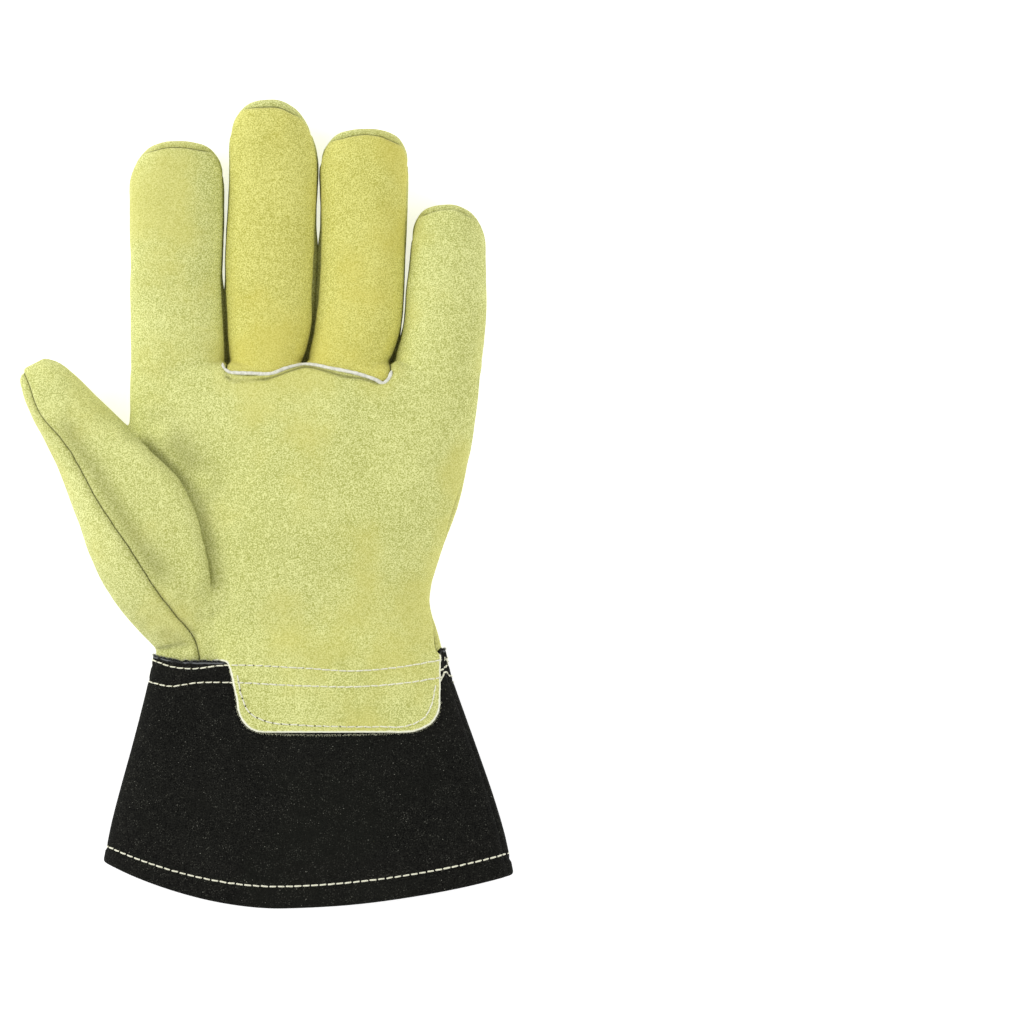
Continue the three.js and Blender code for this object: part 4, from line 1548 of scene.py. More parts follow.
class Field:
    """Output of a node, which adds Math nodes when it is used in an expression."""

    def __init__(self, graph: Graph, socket: bpy.types.NodeSocket) -> None:
        """Wraps a socket of a graph."""
        self.graph = graph
        self.socket = socket

    def out(self, name: str) -> Field:
        """Another output of the same node."""
        return Field(self.graph, self.socket.node.outputs[name])

    def maths(self, operation: str, first: Any, second: Any) -> Field:
        """Math node on two values or fields."""
        return self.graph.node("ShaderNodeMath", {0: first, 1: second}, operation=operation)

    def __add__(self, other: Any) -> Field:
        """Sum."""
        return self.maths("ADD", self, other)

    def __radd__(self, other: Any) -> Field:
        """Sum with a plain number first."""
        return self.maths("ADD", other, self)

    def __sub__(self, other: Any) -> Field:
        """Difference."""
        return self.maths("SUBTRACT", self, other)

    def __rsub__(self, other: Any) -> Field:
        """Difference from a plain number."""
        return self.maths("SUBTRACT", other, self)

    def __mul__(self, other: Any) -> Field:
        """Product."""
        return self.maths("MULTIPLY", self, other)

    def __rmul__(self, other: Any) -> Field:
        """Product with a plain number first."""
        return self.maths("MULTIPLY", other, self)

    def between(self, low: float, high: float) -> Field:
        """Smooth share of the way from low to high, held between 0 and 1."""
        inputs = {"Value": self, "From Min": low, "From Max": high}
        return self.graph.node("ShaderNodeMapRange", inputs, interpolation_type="SMOOTHSTEP")


class Graph:
    """Node tree that is written as Python expressions."""

    def __init__(self, tree: bpy.types.NodeTree) -> None:
        """Starts with an empty tree."""
        self.tree = tree
        tree.nodes.clear()

    def node(
        self,
        kind: str,
        inputs: Mapping[int | str, Any] | None = None,
        output: int | str = 0,
        **settings: Any,
    ) -> Field:
        """Adds a node.

        Args:
            kind: the node's type.
            inputs: values, fields or lists of fields for its sockets.
            output: which of its outputs to return.
            settings: its properties, which are set first.

        Returns:
            That output, or the first input of a node that has none.
        """
        made = self.tree.nodes.new(kind)
        for name, value in settings.items():
            setattr(made, name, value)
        for key, value in (inputs or {}).items():
            for each in value if isinstance(value, list) else [value]:
                if isinstance(each, Field):
                    self.tree.links.new(each.socket, made.inputs[key])
                else:
                    made.inputs[key].default_value = each
        return Field(self, made.outputs[output] if made.outputs else made.inputs[0])

    def mix(self, share: Any, first: Any, second: Any) -> Field:
        """Colour a share of the way from first to second."""
        settings = {"data_type": "RGBA", "clamp_factor": True}
        return self.node("ShaderNodeMix", {0: share, 6: first, 7: second}, 2, **settings)

    def noise(self, place: Field, size: float, detail: float = 2.0, rough: float = 0.55) -> Field:
        """Noise whose cells are a size in millimetres across."""
        inputs = {"Vector": place, "Scale": 1.0 / (size * MM), "Detail": detail, "Roughness": rough}
        return self.node("ShaderNodeTexNoise", inputs)

    def larger(self, first: Any, second: Any) -> Field:
        """Larger of two numbers."""
        return self.node("ShaderNodeMath", {0: first, 1: second}, operation="MAXIMUM")

    def random(self, low: Any, high: Any, seed: int, kind: str = "FLOAT_VECTOR") -> Field:
        """Random vector or number between two others, from a fixed seed."""
        inputs = {"Min": low, "Max": high, "Seed": seed}
        output = 0 if kind == "FLOAT_VECTOR" else "Value"
        return self.node("FunctionNodeRandomValue", inputs, output, data_type=kind)

    def upward(self) -> Field:
        """Way up that a line keeps at each point."""
        return self.node("GeometryNodeInputNamedAttribute", {"Name": "up"}, data_type="FLOAT_VECTOR")

    def lay(self, points: Field, form: Field, turned: Field, size: Field, finish: Field) -> Any:
        """Ends a tree: lays a form on points, as one plain mesh with its finish.

        Args:
            points: where it is laid.
            form: what is laid.
            turned: its rotation at each point.
            size: its scale at each point.
            finish: its material.

        Returns:
            The tree.
        """
        inputs = {"Points": points, "Instance": form, "Rotation": turned, "Scale": size}
        laid = self.node("GeometryNodeInstanceOnPoints", inputs)
        plain = self.node("GeometryNodeRealizeInstances", {"Geometry": laid})
        dressed = self.node("GeometryNodeSetMaterial", {"Geometry": plain, "Material": finish})
        self.node("NodeGroupOutput", {"Geometry": dressed})
        return self.tree

    def cover(self, inputs: Mapping[str, Any]) -> None:
        """Ends a material with its surface."""
        surface = self.node("ShaderNodeBsdfPrincipled", inputs)
        self.node("ShaderNodeOutputMaterial", {"Surface": surface})

    def mark(self, name: str) -> Field:
        """Number that the mesh keeps at each point."""
        return self.node("ShaderNodeAttribute", {}, "Fac", attribute_name=name)


def blank(name: str) -> tuple[Material, Graph]:
    """New material with an empty graph."""
    made = bpy.data.materials.new(name)
    made.use_nodes = True
    return made, Graph(made.node_tree)


def shade(red: int, green: int, blue: int) -> Colour:
    """Linear colour from the screen colour, 0 to 255, that a finish shows."""
    def linear(value: int) -> float:
        """Linear light of one channel."""
        part = value / 255
        return part / 12.92 if part <= 0.04045 else ((part + 0.055) / 1.055) ** 2.4

    return (linear(red), linear(green), linear(blue), 1.0)


@dataclass(frozen=True)
class SuedeFinish:
    """Split leather with a short nap, mottled and grainy."""

    name: str
    deep: Colour
    pale: Colour
    patch: Colour
    # colour of the painted shade in seams, creases and pleats
    groove: Colour
    edge: Colour
    grain: float = 0.47
    nap: float = 2.4
    cloud: float = 24.0
    contrast: float = 3.4
    bump: float = 0.45
    sheen: float = 0.08
    gloss: float = 0.12
    rim_start: float = -1.0
    rim_end: float = 1.0
    rim_breaks: float = 0.0

    def marks(self, graph: Graph, place: Field, colour: Field) -> Field:
        """Paints shade along the seam grooves and in the creases and pleats."""
        line = 1 - graph.mark("seam").between(0.0, 0.5)
        soft = 1 - graph.mark("seam").between(0.0, 2.6)
        # Painted shade: a dark line in each seam groove and a soft band beside it.
        sewn = graph.larger(0.72 * line, 0.2 * soft)
        return graph.mix(graph.larger(sewn, graph.mark("shade")), colour, self.groove)

    def material(self) -> Material:
        """Makes the finish."""
        made, graph = blank(self.name)
        place = graph.node("ShaderNodeTexCoord", {}, "Object")
        fine = graph.noise(place, self.grain, 1.0, 0.6)
        nap = graph.noise(place, self.nap, 2.0)
        cloud = graph.noise(place, self.cloud, 3.0)
        tone = 0.5 + self.contrast * (fine - 0.5) + 0.4 * (nap - 0.5) + 0.6 * (cloud - 0.5)
        colour = graph.mix(tone, self.deep, self.pale)
        worn = graph.noise(place, 1.7 * self.cloud, 4.0).between(0.47, 0.68)
        colour = graph.mix(0.5 * worn, colour, self.patch)
        colour = self.marks(graph, place, colour)
        cut = graph.mark("cut") + 0.8 * (nap - 0.5)
        starts = cut.between(self.rim_start, self.rim_start + 0.3)
        raw = starts * (1 - cut.between(self.rim_end - 0.55, self.rim_end))
        raw = raw * (1 - self.rim_breaks * nap.between(0.42, 0.56))
        colour = graph.mix(raw, colour, self.edge)
        height = 0.7 * fine + 0.3 * nap
        bump = graph.node("ShaderNodeBump", {"Strength": self.bump, "Distance": 0.0005, "Height": height})
        inputs = {
            "Base Color": colour,
            "Roughness": 0.86 + 0.12 * nap,
            "Specular IOR Level": self.gloss,
            "Sheen Weight": self.sheen,
            "Sheen Roughness": 0.6,
            "Normal": bump,
        }
        graph.cover(inputs)
        return made


@dataclass(frozen=True)
class FleckedFinish(SuedeFinish):
    """Dyed split leather whose paler fibres show through as flecks."""

    fleck: Colour = (0.1, 0.1, 0.09, 1.0)
    lint: Colour = (0.3, 0.3, 0.27, 1.0)

    def marks(self, graph: Graph, place: Field, colour: Field) -> Field:
        """Adds the flecks."""
        many = graph.noise(place, 0.42, 1.0).between(0.6, 0.74)
        many = many * graph.noise(place, 4.0, 2.0).between(0.3, 0.7)
        few = graph.noise(place, 0.6, 1.0).between(0.74, 0.8)
        colour = graph.mix(0.8 * many, colour, self.fleck)
        return graph.mix(few, colour, self.lint)


@dataclass(frozen=True)
class ThreadFinish:
    """Twisted sewing thread or the welt's smooth strip."""

    name: str
    pale: Colour
    deep: Colour
    twist: float = 0.5
    bump: float = 0.3
    roughness: float = 0.6

    def material(self) -> Material:
        """Makes the finish."""
        made, graph = blank(self.name)
        place = graph.node("ShaderNodeTexCoord", {}, "Object")
        fibre = graph.noise(place, self.twist, 2.0)
        colour = graph.mix(fibre.between(0.3, 0.7), self.deep, self.pale)
        bump = graph.node("ShaderNodeBump", {"Strength": self.bump, "Distance": 0.0002, "Height": fibre})
        inputs = {"Base Color": colour, "Roughness": self.roughness, "Sheen Weight": 0.1, "Normal": bump}
        graph.cover(inputs)
        return made


def laying_graph(name: str, sizes: Mapping[str, float]) -> tuple[Graph, Field]:
    """Starts a Geometry Nodes tree that lays one form along a line.

    Args:
        name: the tree's name.
        sizes: its named inputs, of which whole numbers are counts.

    Returns:
        The graph and the tree's inputs.
    """
    tree = bpy.data.node_groups.new(name, "GeometryNodeTree")
    tree.interface.new_socket("Geometry", in_out="INPUT", socket_type="NodeSocketGeometry")
    for label, value in sizes.items():
        kind = "NodeSocketInt" if isinstance(value, int) else "NodeSocketFloat"
        tree.interface.new_socket(label, in_out="INPUT", socket_type=kind).default_value = value
    tree.interface.new_socket("Finish", in_out="INPUT", socket_type="NodeSocketMaterial")
    tree.interface.new_socket("Geometry", in_out="OUTPUT", socket_type="NodeSocketGeometry")
    graph = Graph(tree)
    return graph, graph.node("NodeGroupInput")


@dataclass
class RunTree:
    """Geometry Nodes that lay the same small form along a line, such as stitches or the dark dots of
    painted shade at the needle holes.
    """

    name: str
    pitch: float
    length: float
    radius: float
    dip: float
    unevenness: float = 0.1
    sides: int = 6
    seed: int = 3

    def build(self) -> bpy.types.GeometryNodeTree:
        """Makes the tree, with named inputs for its sizes."""
        sizes = {
            "Pitch": self.pitch * MM,
            "Length": self.length * MM,
            "Thread Radius": self.radius * MM,
            "Dip": self.dip * MM,
            "Unevenness": self.unevenness,
        }
        graph, given = laying_graph(self.name, sizes)
        uneven, dip = given.out("Unevenness"), given.out("Dip")
        line = graph.node("GeometryNodeMeshToCurve", {"Mesh": given.out("Geometry")})
        inputs = {"Curve": line, "Length": given.out("Pitch")}
        beads = graph.node("GeometryNodeResampleCurve", inputs, mode="LENGTH")
        tangent = graph.node("GeometryNodeInputTangent")
        turned = graph.node("FunctionNodeAlignRotationToVector", {"Vector": tangent}, axis="X")
        settings = {"axis": "Z", "pivot_axis": "X"}
        inputs = {"Rotation": turned, "Vector": graph.upward()}
        turned = graph.node("FunctionNodeAlignRotationToVector", inputs, **settings)
        least = graph.node("ShaderNodeCombineXYZ", {"Y": -0.6 * uneven, "Z": -1.0 * uneven})
        most = graph.node("ShaderNodeCombineXYZ", {"Y": 0.6 * uneven, "Z": uneven})
        swing = graph.random(least, most, self.seed)
        swing = graph.node("FunctionNodeEulerToRotation", {"Euler": swing})
        inputs = {"Rotation": turned, "Rotate By": swing}
        turned = graph.node("FunctionNodeRotateRotation", inputs, rotation_space="LOCAL")
        size = graph.random(1 - uneven, 1 + 0.6 * uneven, self.seed + 1, "FLOAT")
        half = given.out("Length") * 0.5
        sunk = -1.0 * dip
        start = graph.node("ShaderNodeCombineXYZ", {"X": -1.0 * half, "Z": sunk})
        crown = graph.node("ShaderNodeCombineXYZ", {"Z": dip * 1.35})
        end = graph.node("ShaderNodeCombineXYZ", {"X": half, "Z": sunk})
        inputs = {"Resolution": 6, "Start": start, "Middle": crown, "End": end}
        arc = graph.node("GeometryNodeCurveQuadraticBezier", inputs)
        inputs = {"Resolution": self.sides, "Radius": given.out("Thread Radius")}
        ring = graph.node("GeometryNodeCurvePrimitiveCircle", inputs)
        inputs = {"Curve": arc, "Profile Curve": ring, "Fill Caps": True}
        strand = graph.node("GeometryNodeCurveToMesh", inputs)
        return graph.lay(beads, strand, turned, size, given.out("Finish"))


@dataclass
class FuzzTree:
    """Geometry Nodes that set loose fibres along a raw edge."""

    name: str = "raw_edge_fibres"
    count: int = 900
    length: float = 0.9
    radius: float = 0.045
    spread: float = 0.35
    lean: float = 0.9
    seed: int = 7

    def build(self) -> bpy.types.GeometryNodeTree:
        """Makes the tree, with named inputs for its sizes."""
        sizes = {
            "Count": self.count,
            "Length": self.length * MM,
            "Fibre Radius": self.radius * MM,
            "Spread": self.spread * MM,
        }
        graph, given = laying_graph(self.name, sizes)
        line = graph.node("GeometryNodeMeshToCurve", {"Mesh": given.out("Geometry")})
        inputs = {"Curve": line, "Count": given.out("Count")}
        beads = graph.node("GeometryNodeResampleCurve", inputs, mode="COUNT")
        shift = graph.random((-1.0, -1.0, -1.0), (1.0, 1.0, 1.0), self.seed)
        inputs = {0: shift, "Scale": given.out("Spread")}
        scaled = graph.node("ShaderNodeVectorMath", inputs, operation="SCALE")
        moved = graph.node("GeometryNodeSetPosition", {"Geometry": beads, "Offset": scaled})
        lean = graph.random((-self.lean,) * 3, (self.lean,) * 3, self.seed + 1)
        aim = graph.node("ShaderNodeVectorMath", {0: graph.upward(), 1: lean}, operation="ADD")
        turned = graph.node("FunctionNodeAlignRotationToVector", {"Vector": aim}, axis="Z")
        inputs = {
            "Vertices": 3,
            "Side Segments": 1,
            "Radius Top": 0.00001,
            "Radius Bottom": given.out("Fibre Radius"),
            "Depth": given.out("Length"),
        }
        cone = graph.node("GeometryNodeMeshCone", inputs)
        size = graph.random(0.4, 1.0, self.seed + 2, "FLOAT")
        return graph.lay(moved, cone, turned, size, given.out("Finish"))


@dataclass
class Sewing:
    """Stitch rows, dark dots of painted shade at the needle holes and loose fibres, laid on the finished
    leather.
    """

    shop: Workshop
    pitch: float = 2.95
    sunk_below: float = 0.3
    surface: BVHTree = field(init=False)

    def gather_surfaces(self) -> None:
        """Takes every leather piece as what the thread lies on."""
        points: list[Points] = []
        faces: list[list[int]] = []
        start = 0
        for thing in self.shop.leather:
            flat = np.empty(len(thing.data.vertices) * 3, np.float32)
            thing.data.vertices.foreach_get("co", flat)
            points.append(flat.reshape(-1, 3))
            faces.extend([[index + start for index in face.vertices] for face in thing.data.polygons])
            start += len(thing.data.vertices)
        self.surface = BVHTree.FromPolygons(np.concatenate(points).tolist(), faces)

    def laid(self, line: Points, side: Side, lift: float = 0.12) -> tuple[Points, Points]:
        """Drops a line in plan on the leather.

        Args:
            line: the line in the layout, of which X and Y are read.
            side: from above or from below.
            lift: how far above the leather it runs.

        Returns:
            Points in the layout and the leather's normals there.
        """
        found, ups = [], []
        for x, y in line[:, :2]:
            start = self.shop.world(np.array([[x, y, 80.0 * side]]))[0]
            place, normal, _, _ = self.surface.ray_cast(Vector(start), Vector((0, 0, -float(side))), 1.0)
            if place is None:
                continue
            found.append(self.shop.layout(np.array([place]))[0])
            ups.append(np.array(normal))
        points, normals = np.array(found), np.array(ups)
        points[:, 2] = steadied(points[:, 2])
        for axis in range(3):
            normals[:, axis] = steadied(normals[:, axis])
        normals = unit(normals)
        return points + normals * (lift if side == Side.PALM else lift - self.sunk_below), normals

    def path(self, name: str, runs: Sequence[Run]) -> bpy.types.Object:
        """Lines that the node trees follow, as one mesh of edges with the way up at each point."""
        points = np.concatenate([run[0] for run in runs])
        ups = np.concatenate([run[1] for run in runs])
        edges, start = [], 0
        for run, _ in runs:
            edges.extend((start + i, start + i + 1) for i in range(len(run) - 1))
            start += len(run)
        mesh = bpy.data.meshes.new(name)
        mesh.from_pydata(self.shop.world(points).tolist(), edges, [])
        layer = mesh.attributes.new("up", "FLOAT_VECTOR", "POINT")
        layer.data.foreach_set("vector", ups.astype(np.float32).ravel())
        return self.shop.place(name, mesh)

    def grow(
        self,
        name: str,
        runs: Sequence[Run],
        tree: bpy.types.GeometryNodeTree,
        finish: Material,
        slot: str,
        **sizes: float,
    ) -> None:
        """Runs a node tree along lines and keeps the result as a plain piece.

        Args:
            name: the piece's name.
            runs: points and normals of each line.
            tree: the node tree.
            finish: its material.
            slot: the record's material slot; not used.
            sizes: other values for the tree's inputs, in metres, by name with underscores.
        """
        line = self.path(name + "_line", runs)
        modifier = line.modifiers.new("nodes", "NODES")
        modifier.node_group = tree
        for item in tree.interface.items_tree:
            if item.item_type != "SOCKET" or item.in_out != "INPUT":
                continue
            key = item.name.replace(" ", "_").lower()
            if item.name == "Finish":
                modifier[item.identifier] = finish
            elif key in sizes:
                modifier[item.identifier] = sizes[key]
        piece = self.shop.settled(line, name)
        if not piece.data.materials:
            piece.data.materials.append(finish)
        piece.data.shade_smooth()
        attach(piece, "root")
        LOG.info("%s: %d faces", piece.name, len(piece.data.polygons))


@dataclass
class Threads:
    """The glove's own rows of stitching."""

    sewing: Sewing
    tab: Tab
    cuff: Cuff
    leather: CuffLeather
    finishes: Mapping[str, Material]
    wrist_rows: tuple[Corners, ...] = (
        (
            (-53.6, -2.0), (-47.5, -4.0), (-39.9, -4.7), (-29.8, -3.6),
            (-1.0, -4.3), (18.3, -5.4), (34.3, -4.1), (48.4, -1.8),
        ),
        (
            (-55.0, -9.7), (-48.8, -11.0), (-37.4, -9.7), (-26.0, -9.6),
            (-1.0, -10.7), (20.8, -11.0), (37.1, -9.7), (48.6, -8.0),
        ),
    )
    back_rows: tuple[Corners, ...] = (
        ((-33.4, -1.4), (-20.0, -1.7), (0.0, -2.3), (7.0, -2.5), (11.0, -4.0), (30.0, -3.2), (52.0, -2.4)),
        (
            (-53.5, -6.9), (-44.0, -7.0), (-34.0, -6.8), (-20.0, -7.6),
            (0.0, -8.6), (7.0, -8.9), (11.0, -10.3), (54.0, -9.7),
        ),
        ((-54.5, -13.1), (-44.0, -12.8), (-36.0, -12.4)),
    )
    tab_row: Corners = (
        (-23.2, -8.2), (-21.8, -14.8), (-19.0, -20.4), (-12.9, -23.5), (-2.6, -24.7),
        (12.0, -25.3), (27.0, -25.4), (38.0, -24.9), (43.2, -22.4), (46.0, -17.6), (47.2, -12.0),
    )
    tacks: tuple[Corners, ...] = (
        ((49.6, -5.2), (52.0, -2.6), (50.6, -1.4), (53.2, -1.2)),
        ((49.4, -8.6), (51.0, -6.0), (52.6, -7.6), (54.2, -6.8)),
    )
    elastic_height: float = 16.5
    elastic_swing: float = 3.6
    elastic_lift: float = 0.6
    elastic_waves: float = 8.5
    elastic_span: float = 88.0
    elastic_left: float = -38.0
    elastic_right: float = 43.5
    elastic_start: float = -34.0

    def build(self) -> None:
        """Sews every row and sets the loose fibres."""
        thread_tree = RunTree("thread_run", self.sewing.pitch, 2.65, 0.32, 0.26).build()
        hole_shade_tree = RunTree("needle_holes", self.sewing.pitch, 0.5, 0.27, 0.03, 0.0).build()
        fuzz_tree = FuzzTree().build()
        wrist = [self.sewing.laid(softened(np.array(row), 420), Side.PALM) for row in self.wrist_rows]
        tab = [self.sewing.laid(softened(np.array(self.tab_row), 300), Side.PALM)]
        back = [self.sewing.laid(softened(np.array(row), 420), Side.BACK) for row in self.back_rows]
        hems = [self.hem(side) for side in Side]
        thread = self.finishes["thread"]
        grow = self.sewing.grow
        tacks = [self.sewing.laid(softened(np.array(row), 60), Side.PALM) for row in self.tacks]
        grow("wrist_stitches", [*wrist, *tab], thread_tree, thread, "welt", thread_radius=0.00027)
        sizes = {"pitch": 0.0017, "length": 0.0016, "unevenness": 0.4}
        grow("wrist_tacks", tacks, thread_tree, thread, "welt", **sizes)
        grow("cuff_back_stitches", back, thread_tree, thread, "welt")
        grow("hem_stitches", hems, thread_tree, thread, "welt", length=0.00225)
        # Dark dots at the needle holes: painted shade where the thread goes into the leather.
        holes = [self.shifted(run) for run in (*wrist, *tab)]
        grow("needle_holes", holes, hole_shade_tree, self.finishes["hole"], "palm_suede")
        elastic = [self.sewing.laid(self.elastic(), Side.BACK, self.elastic_lift)]
        sizes = {"pitch": 0.0024, "length": 0.0023, "thread_radius": 0.0004}
        finish = self.finishes["elastic"]
        grow("elastic_stitches", elastic, thread_tree, finish, "back_suede", **sizes)
        finish = self.finishes["fibre"]
        grow("cuff_edge_fibres", self.raw_edges(), fuzz_tree, finish, "cuff_suede")
        sizes = {"length": 0.0007, "spread": 0.0003, "fibre_radius": 0.00006}
        finish = self.finishes["tab_fibre"]
        grow("tab_edge_fibres", [self.tab_edge()], fuzz_tree, finish, "palm_suede", **sizes)

    def elastic(self) -> Points:
        """Wavy line of the stitch that holds the elastic, in plan."""
        x = np.linspace(self.elastic_left, self.elastic_right, 500)
        phase = 2 * np.pi * self.elastic_waves * (x - self.elastic_start) / self.elastic_span
        swing = self.elastic_swing * (0.8 + 0.2 * np.cos(0.7 * phase))
        return np.stack([x, self.elastic_height + swing * np.cos(phase)], axis=1)

    def shifted(self, run: tuple[Points, Points]) -> tuple[Points, Points]:
        """The same line from half a stitch further on, where the needle went in."""
        gone = np.cumsum(np.linalg.norm(np.diff(run[0], axis=0), axis=1))
        first = int(np.searchsorted(gone, self.sewing.pitch / 2))
        return run[0][first:] - run[1][first:] * 0.1, run[1][first:]

    def hem(self, side: Side) -> tuple[Points, Points]:
        """Line of the hem's stitches on one piece of the cuff."""
        outer = self.leather.skins[side]
        rows, columns = outer.shape[:2]
        share = np.linspace(0.0, 1.0, columns)
        drop = lerp(7.6, 5.6, share) if side == Side.PALM else lerp(5.6, 7.6, share)
        row = (1.0 - drop / self.cuff.length) * (rows - 1)
        low = np.floor(row).astype(int)
        part = (row - low)[:, None]
        place = np.arange(columns)
        points = lerp(outer[low, place], outer[np.minimum(low + 1, rows - 1), place], part)
        across = np.gradient(points, axis=0)
        down = outer[np.minimum(low + 1, rows - 1), place] - outer[low, place]
        normals = np.cross(down, across)
        normals = unit(normals)
        middle = columns // 2
        if normals[middle, 2] * int(side) < 0:
            normals = -normals
        return points + normals * (0.12 if side == Side.PALM else -0.15), normals

    def raw_edges(self) -> list[Run]:
        """The cuff's upper edges, with the fibres pointing towards the fingers."""
        runs = []
        for side in Side:
            edge = self.leather.skins[side][0]
            if side == Side.PALM:
                edge = edge[edge[:, 0] < self.tab.left + 1.0]
            up = np.tile(np.array([0.0, 0.75, 0.5 if side == Side.PALM else 0.15]), (len(edge), 1))
            runs.append((edge - np.array([0.0, 0.1, 0.3 * int(side)]), up))
        return runs

    def tab_edge(self) -> tuple[Points, Points]:
        """The tab's cut edge, with the fibres pointing away from it."""
        outline = self.tab.outline()[1:-1]
        line = softened(outline, 220)
        tangent = np.gradient(line, axis=0)
        out = np.stack([tangent[:, 1], -tangent[:, 0], np.zeros(len(line))], axis=1)
        out = unit(out)
        z = self.tab.height(line[:, 0], line[:, 1]) - 0.6
        points = np.column_stack([line, z])
        return points + out * -0.15, -out if np.dot(out[110, :2], (0.0, -1.0)) < 0 else out


@dataclass
class Studio:
    """Pale floor, soft lights and the camera, which looks straight down."""

    width: float = 0.36864
    distance: float = 3.0
    level: float = 0.012
    sensor: float = 36.0
    centre: tuple[float, float] = (0.0879, -0.0029)
    floor_size: float = 6.0
    floor_drop: float = 0.0004
    floor_glow: float = 0.6

    def build(self) -> None:
        """Makes the floor, the lights and the camera."""
        self.floor()
        self.light("key", (-1.5, 0.6, 1.0), 1.6, 28.0)
        self.light("fill", (1.3, -0.3, 1.2), 1.5, 14.0)
        world = bpy.data.worlds.new("studio")
        bpy.context.scene.world = world
        world.use_nodes = True
        graph = Graph(world.node_tree)
        sky = graph.node("ShaderNodeBackground", {"Color": (1.0, 1.0, 1.0, 1.0), "Strength": 0.52})
        graph.node("ShaderNodeOutputWorld", {"Surface": sky})
        data = bpy.data.cameras.new("camera")
        data.sensor_width = self.sensor
        data.lens = self.sensor * self.distance / self.width
        camera = bpy.data.objects.new("camera", data)
        camera.location = (*self.centre, self.distance + self.level)
        bpy.context.scene.collection.objects.link(camera)
        bpy.context.scene.camera = camera
        bpy.context.scene.view_settings.view_transform = "Standard"

    def floor(self) -> None:
        """Pale floor that the glove lies on."""
        half = self.floor_size / 2
        mesh = bpy.data.meshes.new("floor")
        corners = [(-half, -half, 0), (half, -half, 0), (half, half, 0), (-half, half, 0)]
        mesh.from_pydata([(x, y, -self.floor_drop) for x, y, _ in corners], [], [(0, 1, 2, 3)])
        made, graph = blank("floor_paper")
        inputs = {
            "Base Color": (0.8, 0.8, 0.8, 1.0),
            "Roughness": 0.9,
            "Specular IOR Level": 0.0,
            "Emission Color": (1.0, 1.0, 1.0, 1.0),
            "Emission Strength": self.floor_glow,
        }
        graph.cover(inputs)
        mesh.materials.append(made)
        thing = bpy.data.objects.new("floor", mesh)
        bpy.context.scene.collection.objects.link(thing)

    def light(self, name: str, place: tuple[float, float, float], size: float, power: float) -> None:
        """Soft light that faces the glove.

        Args:
            name: its name.
            place: where it stands, in metres.
            size: how wide it is.
            power: in watts.
        """
        data = bpy.data.lights.new(name, "AREA")
        data.size = size
        data.energy = power
        thing = bpy.data.objects.new(name, data)
        thing.location = place
        thing.rotation_euler = (-Vector(place)).to_track_quat("-Z", "Y").to_euler()
        bpy.context.scene.collection.objects.link(thing)


def finishes() -> dict[str, Material]:
    """Every material of the glove, by slot or by use."""
    # Colour of the painted shade in the seams and folds of the yellow suede.
    groove = shade(84, 84, 36)
    edge = shade(244, 244, 220)
    tones = {
        "palm_suede": (shade(170, 174, 92), shade(232, 234, 160), shade(204, 198, 104)),
        "finger_suede": (shade(178, 175, 80), shade(229, 226, 136), shade(208, 197, 92)),
        "back_suede": (shade(170, 174, 92), shade(234, 236, 164), shade(206, 201, 110)),
        # A darker copy of the palm suede: painted shade for the strips that lie deep between the fingers.
        "strip_suede": (shade(160, 162, 82), shade(222, 224, 146), shade(196, 190, 96)),
    }
    suedes = [SuedeFinish(name, *tone, groove, edge) for name, tone in tones.items()]
    black = FleckedFinish(
        "cuff_suede",
        shade(10, 10, 9),
        shade(31, 31, 28),
        shade(24, 25, 21),
        shade(8, 8, 8),
        shade(104, 106, 108),
        rim_start=0.45,
        rim_end=1.45,
        rim_breaks=0.85,
        sheen=0.01,
        gloss=0.04,
        fleck=shade(88, 88, 80),
        lint=shade(128, 128, 118),
    )
    threads = [
        ThreadFinish("welt", shade(232, 232, 222), shade(206, 206, 192), 1.2, 0.15, 0.5),
        ThreadFinish("thread", shade(245, 244, 222), shade(216, 214, 188)),
        ThreadFinish("elastic", shade(246, 244, 204), shade(226, 223, 172)),
        # Dark colour of the needle-hole dots: painted shade inside the holes.
        ThreadFinish("hole", shade(84, 78, 42), shade(50, 46, 26)),
        ThreadFinish("fibre", shade(170, 172, 170), shade(84, 86, 84)),
        ThreadFinish("tab_fibre", shade(240, 240, 214), shade(220, 220, 180)),
    ]
    return {finish.name: finish.material() for finish in (*suedes, black, *threads)}


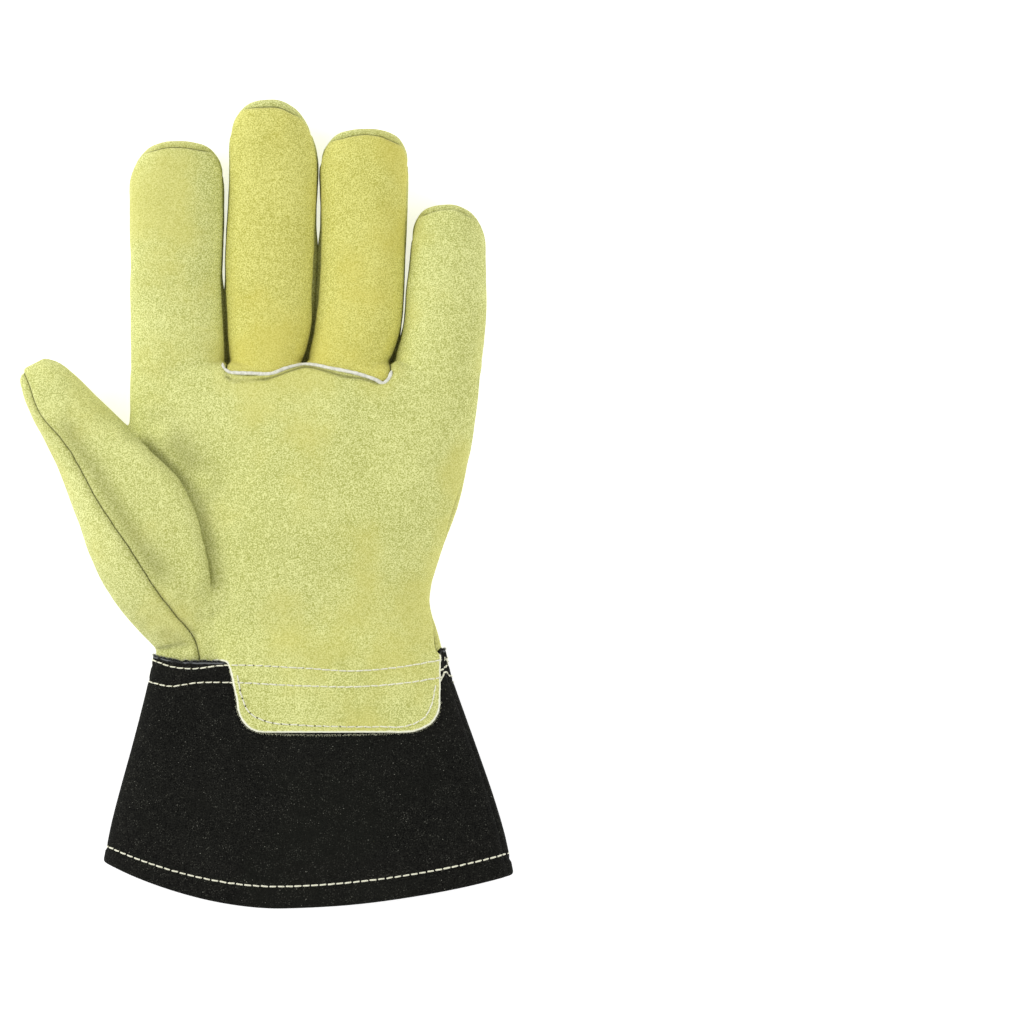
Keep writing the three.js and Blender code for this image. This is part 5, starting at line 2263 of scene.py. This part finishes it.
def lay_welt(welt: Welt, sewing: Sewing, finish: Material) -> None:
    """Lays the welt along the seam over the two middle fingers.

    Args:
        welt: its line and thickness.
        sewing: finds the leather under it.
        finish: its material.
    """
    line = welt.line()
    points, _ = sewing.laid(line, Side.PALM, 0.0)
    points[:, 2] = steadied(points[:, 2], 6) + 0.25 * welt.thick
    tangent = np.gradient(points, axis=0)
    tangent = unit(tangent)
    side = np.cross(tangent, np.array([0.0, 0.0, 1.0]))
    side = unit(side)
    up = np.cross(side, tangent)
    sides = 12
    rings = []
    count = len(points)
    for index in range(count):
        ends = min(index, count - 1 - index) / 4.0
        radius = welt.thick / 2 * math.sqrt(min(1.0, 0.15 + ends))
        wobble = 1 + 0.06 * math.sin(index * 0.9) + 0.04 * math.sin(index * 0.37)
        angle = full_turn(sides)[:, None]
        around = np.cos(angle) * side[index] + 0.85 * np.sin(angle) * up[index]
        rings.append(points[index] + radius * wobble * around)
    shell, quads, fans = tube_shell(rings)
    mesh = sewing.shop.mesh("knuckle_welt_strip", shell, quads, fans)
    outward(mesh)
    mesh.materials.append(finish)
    piece = sewing.shop.place("knuckle_welt_strip", mesh)
    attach(piece, "root")
    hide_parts("knuckle_welt")
    LOG.info("%s: %d faces", piece.name, len(mesh.polygons))


def write_sizes() -> None:
    """Brings the view layer up to date."""
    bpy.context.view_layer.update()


def main() -> None:
    """Builds the glove, piece by piece, and the studio round it."""
    logging.basicConfig(level=logging.INFO, format="%(name)s %(message)s")
    shop = Workshop()
    made = finishes()
    cuff = Cuff()
    tab = Tab(cuff)
    welt = Welt()
    leather = Leather(Hand(tab), FINGERS, Thumb(), welt)
    leather.build(shop)
    leather.dress(shop, made)
    cuff_leather = CuffLeather(cuff)
    cuff_leather.build(shop, made["cuff_suede"])
    sewing = Sewing(shop)
    sewing.gather_surfaces()
    lay_welt(welt, sewing, made["welt"])
    Threads(sewing, tab, cuff, cuff_leather, made).build()
    Studio().build()
    write_sizes()


if __name__ == "__main__":
    main()
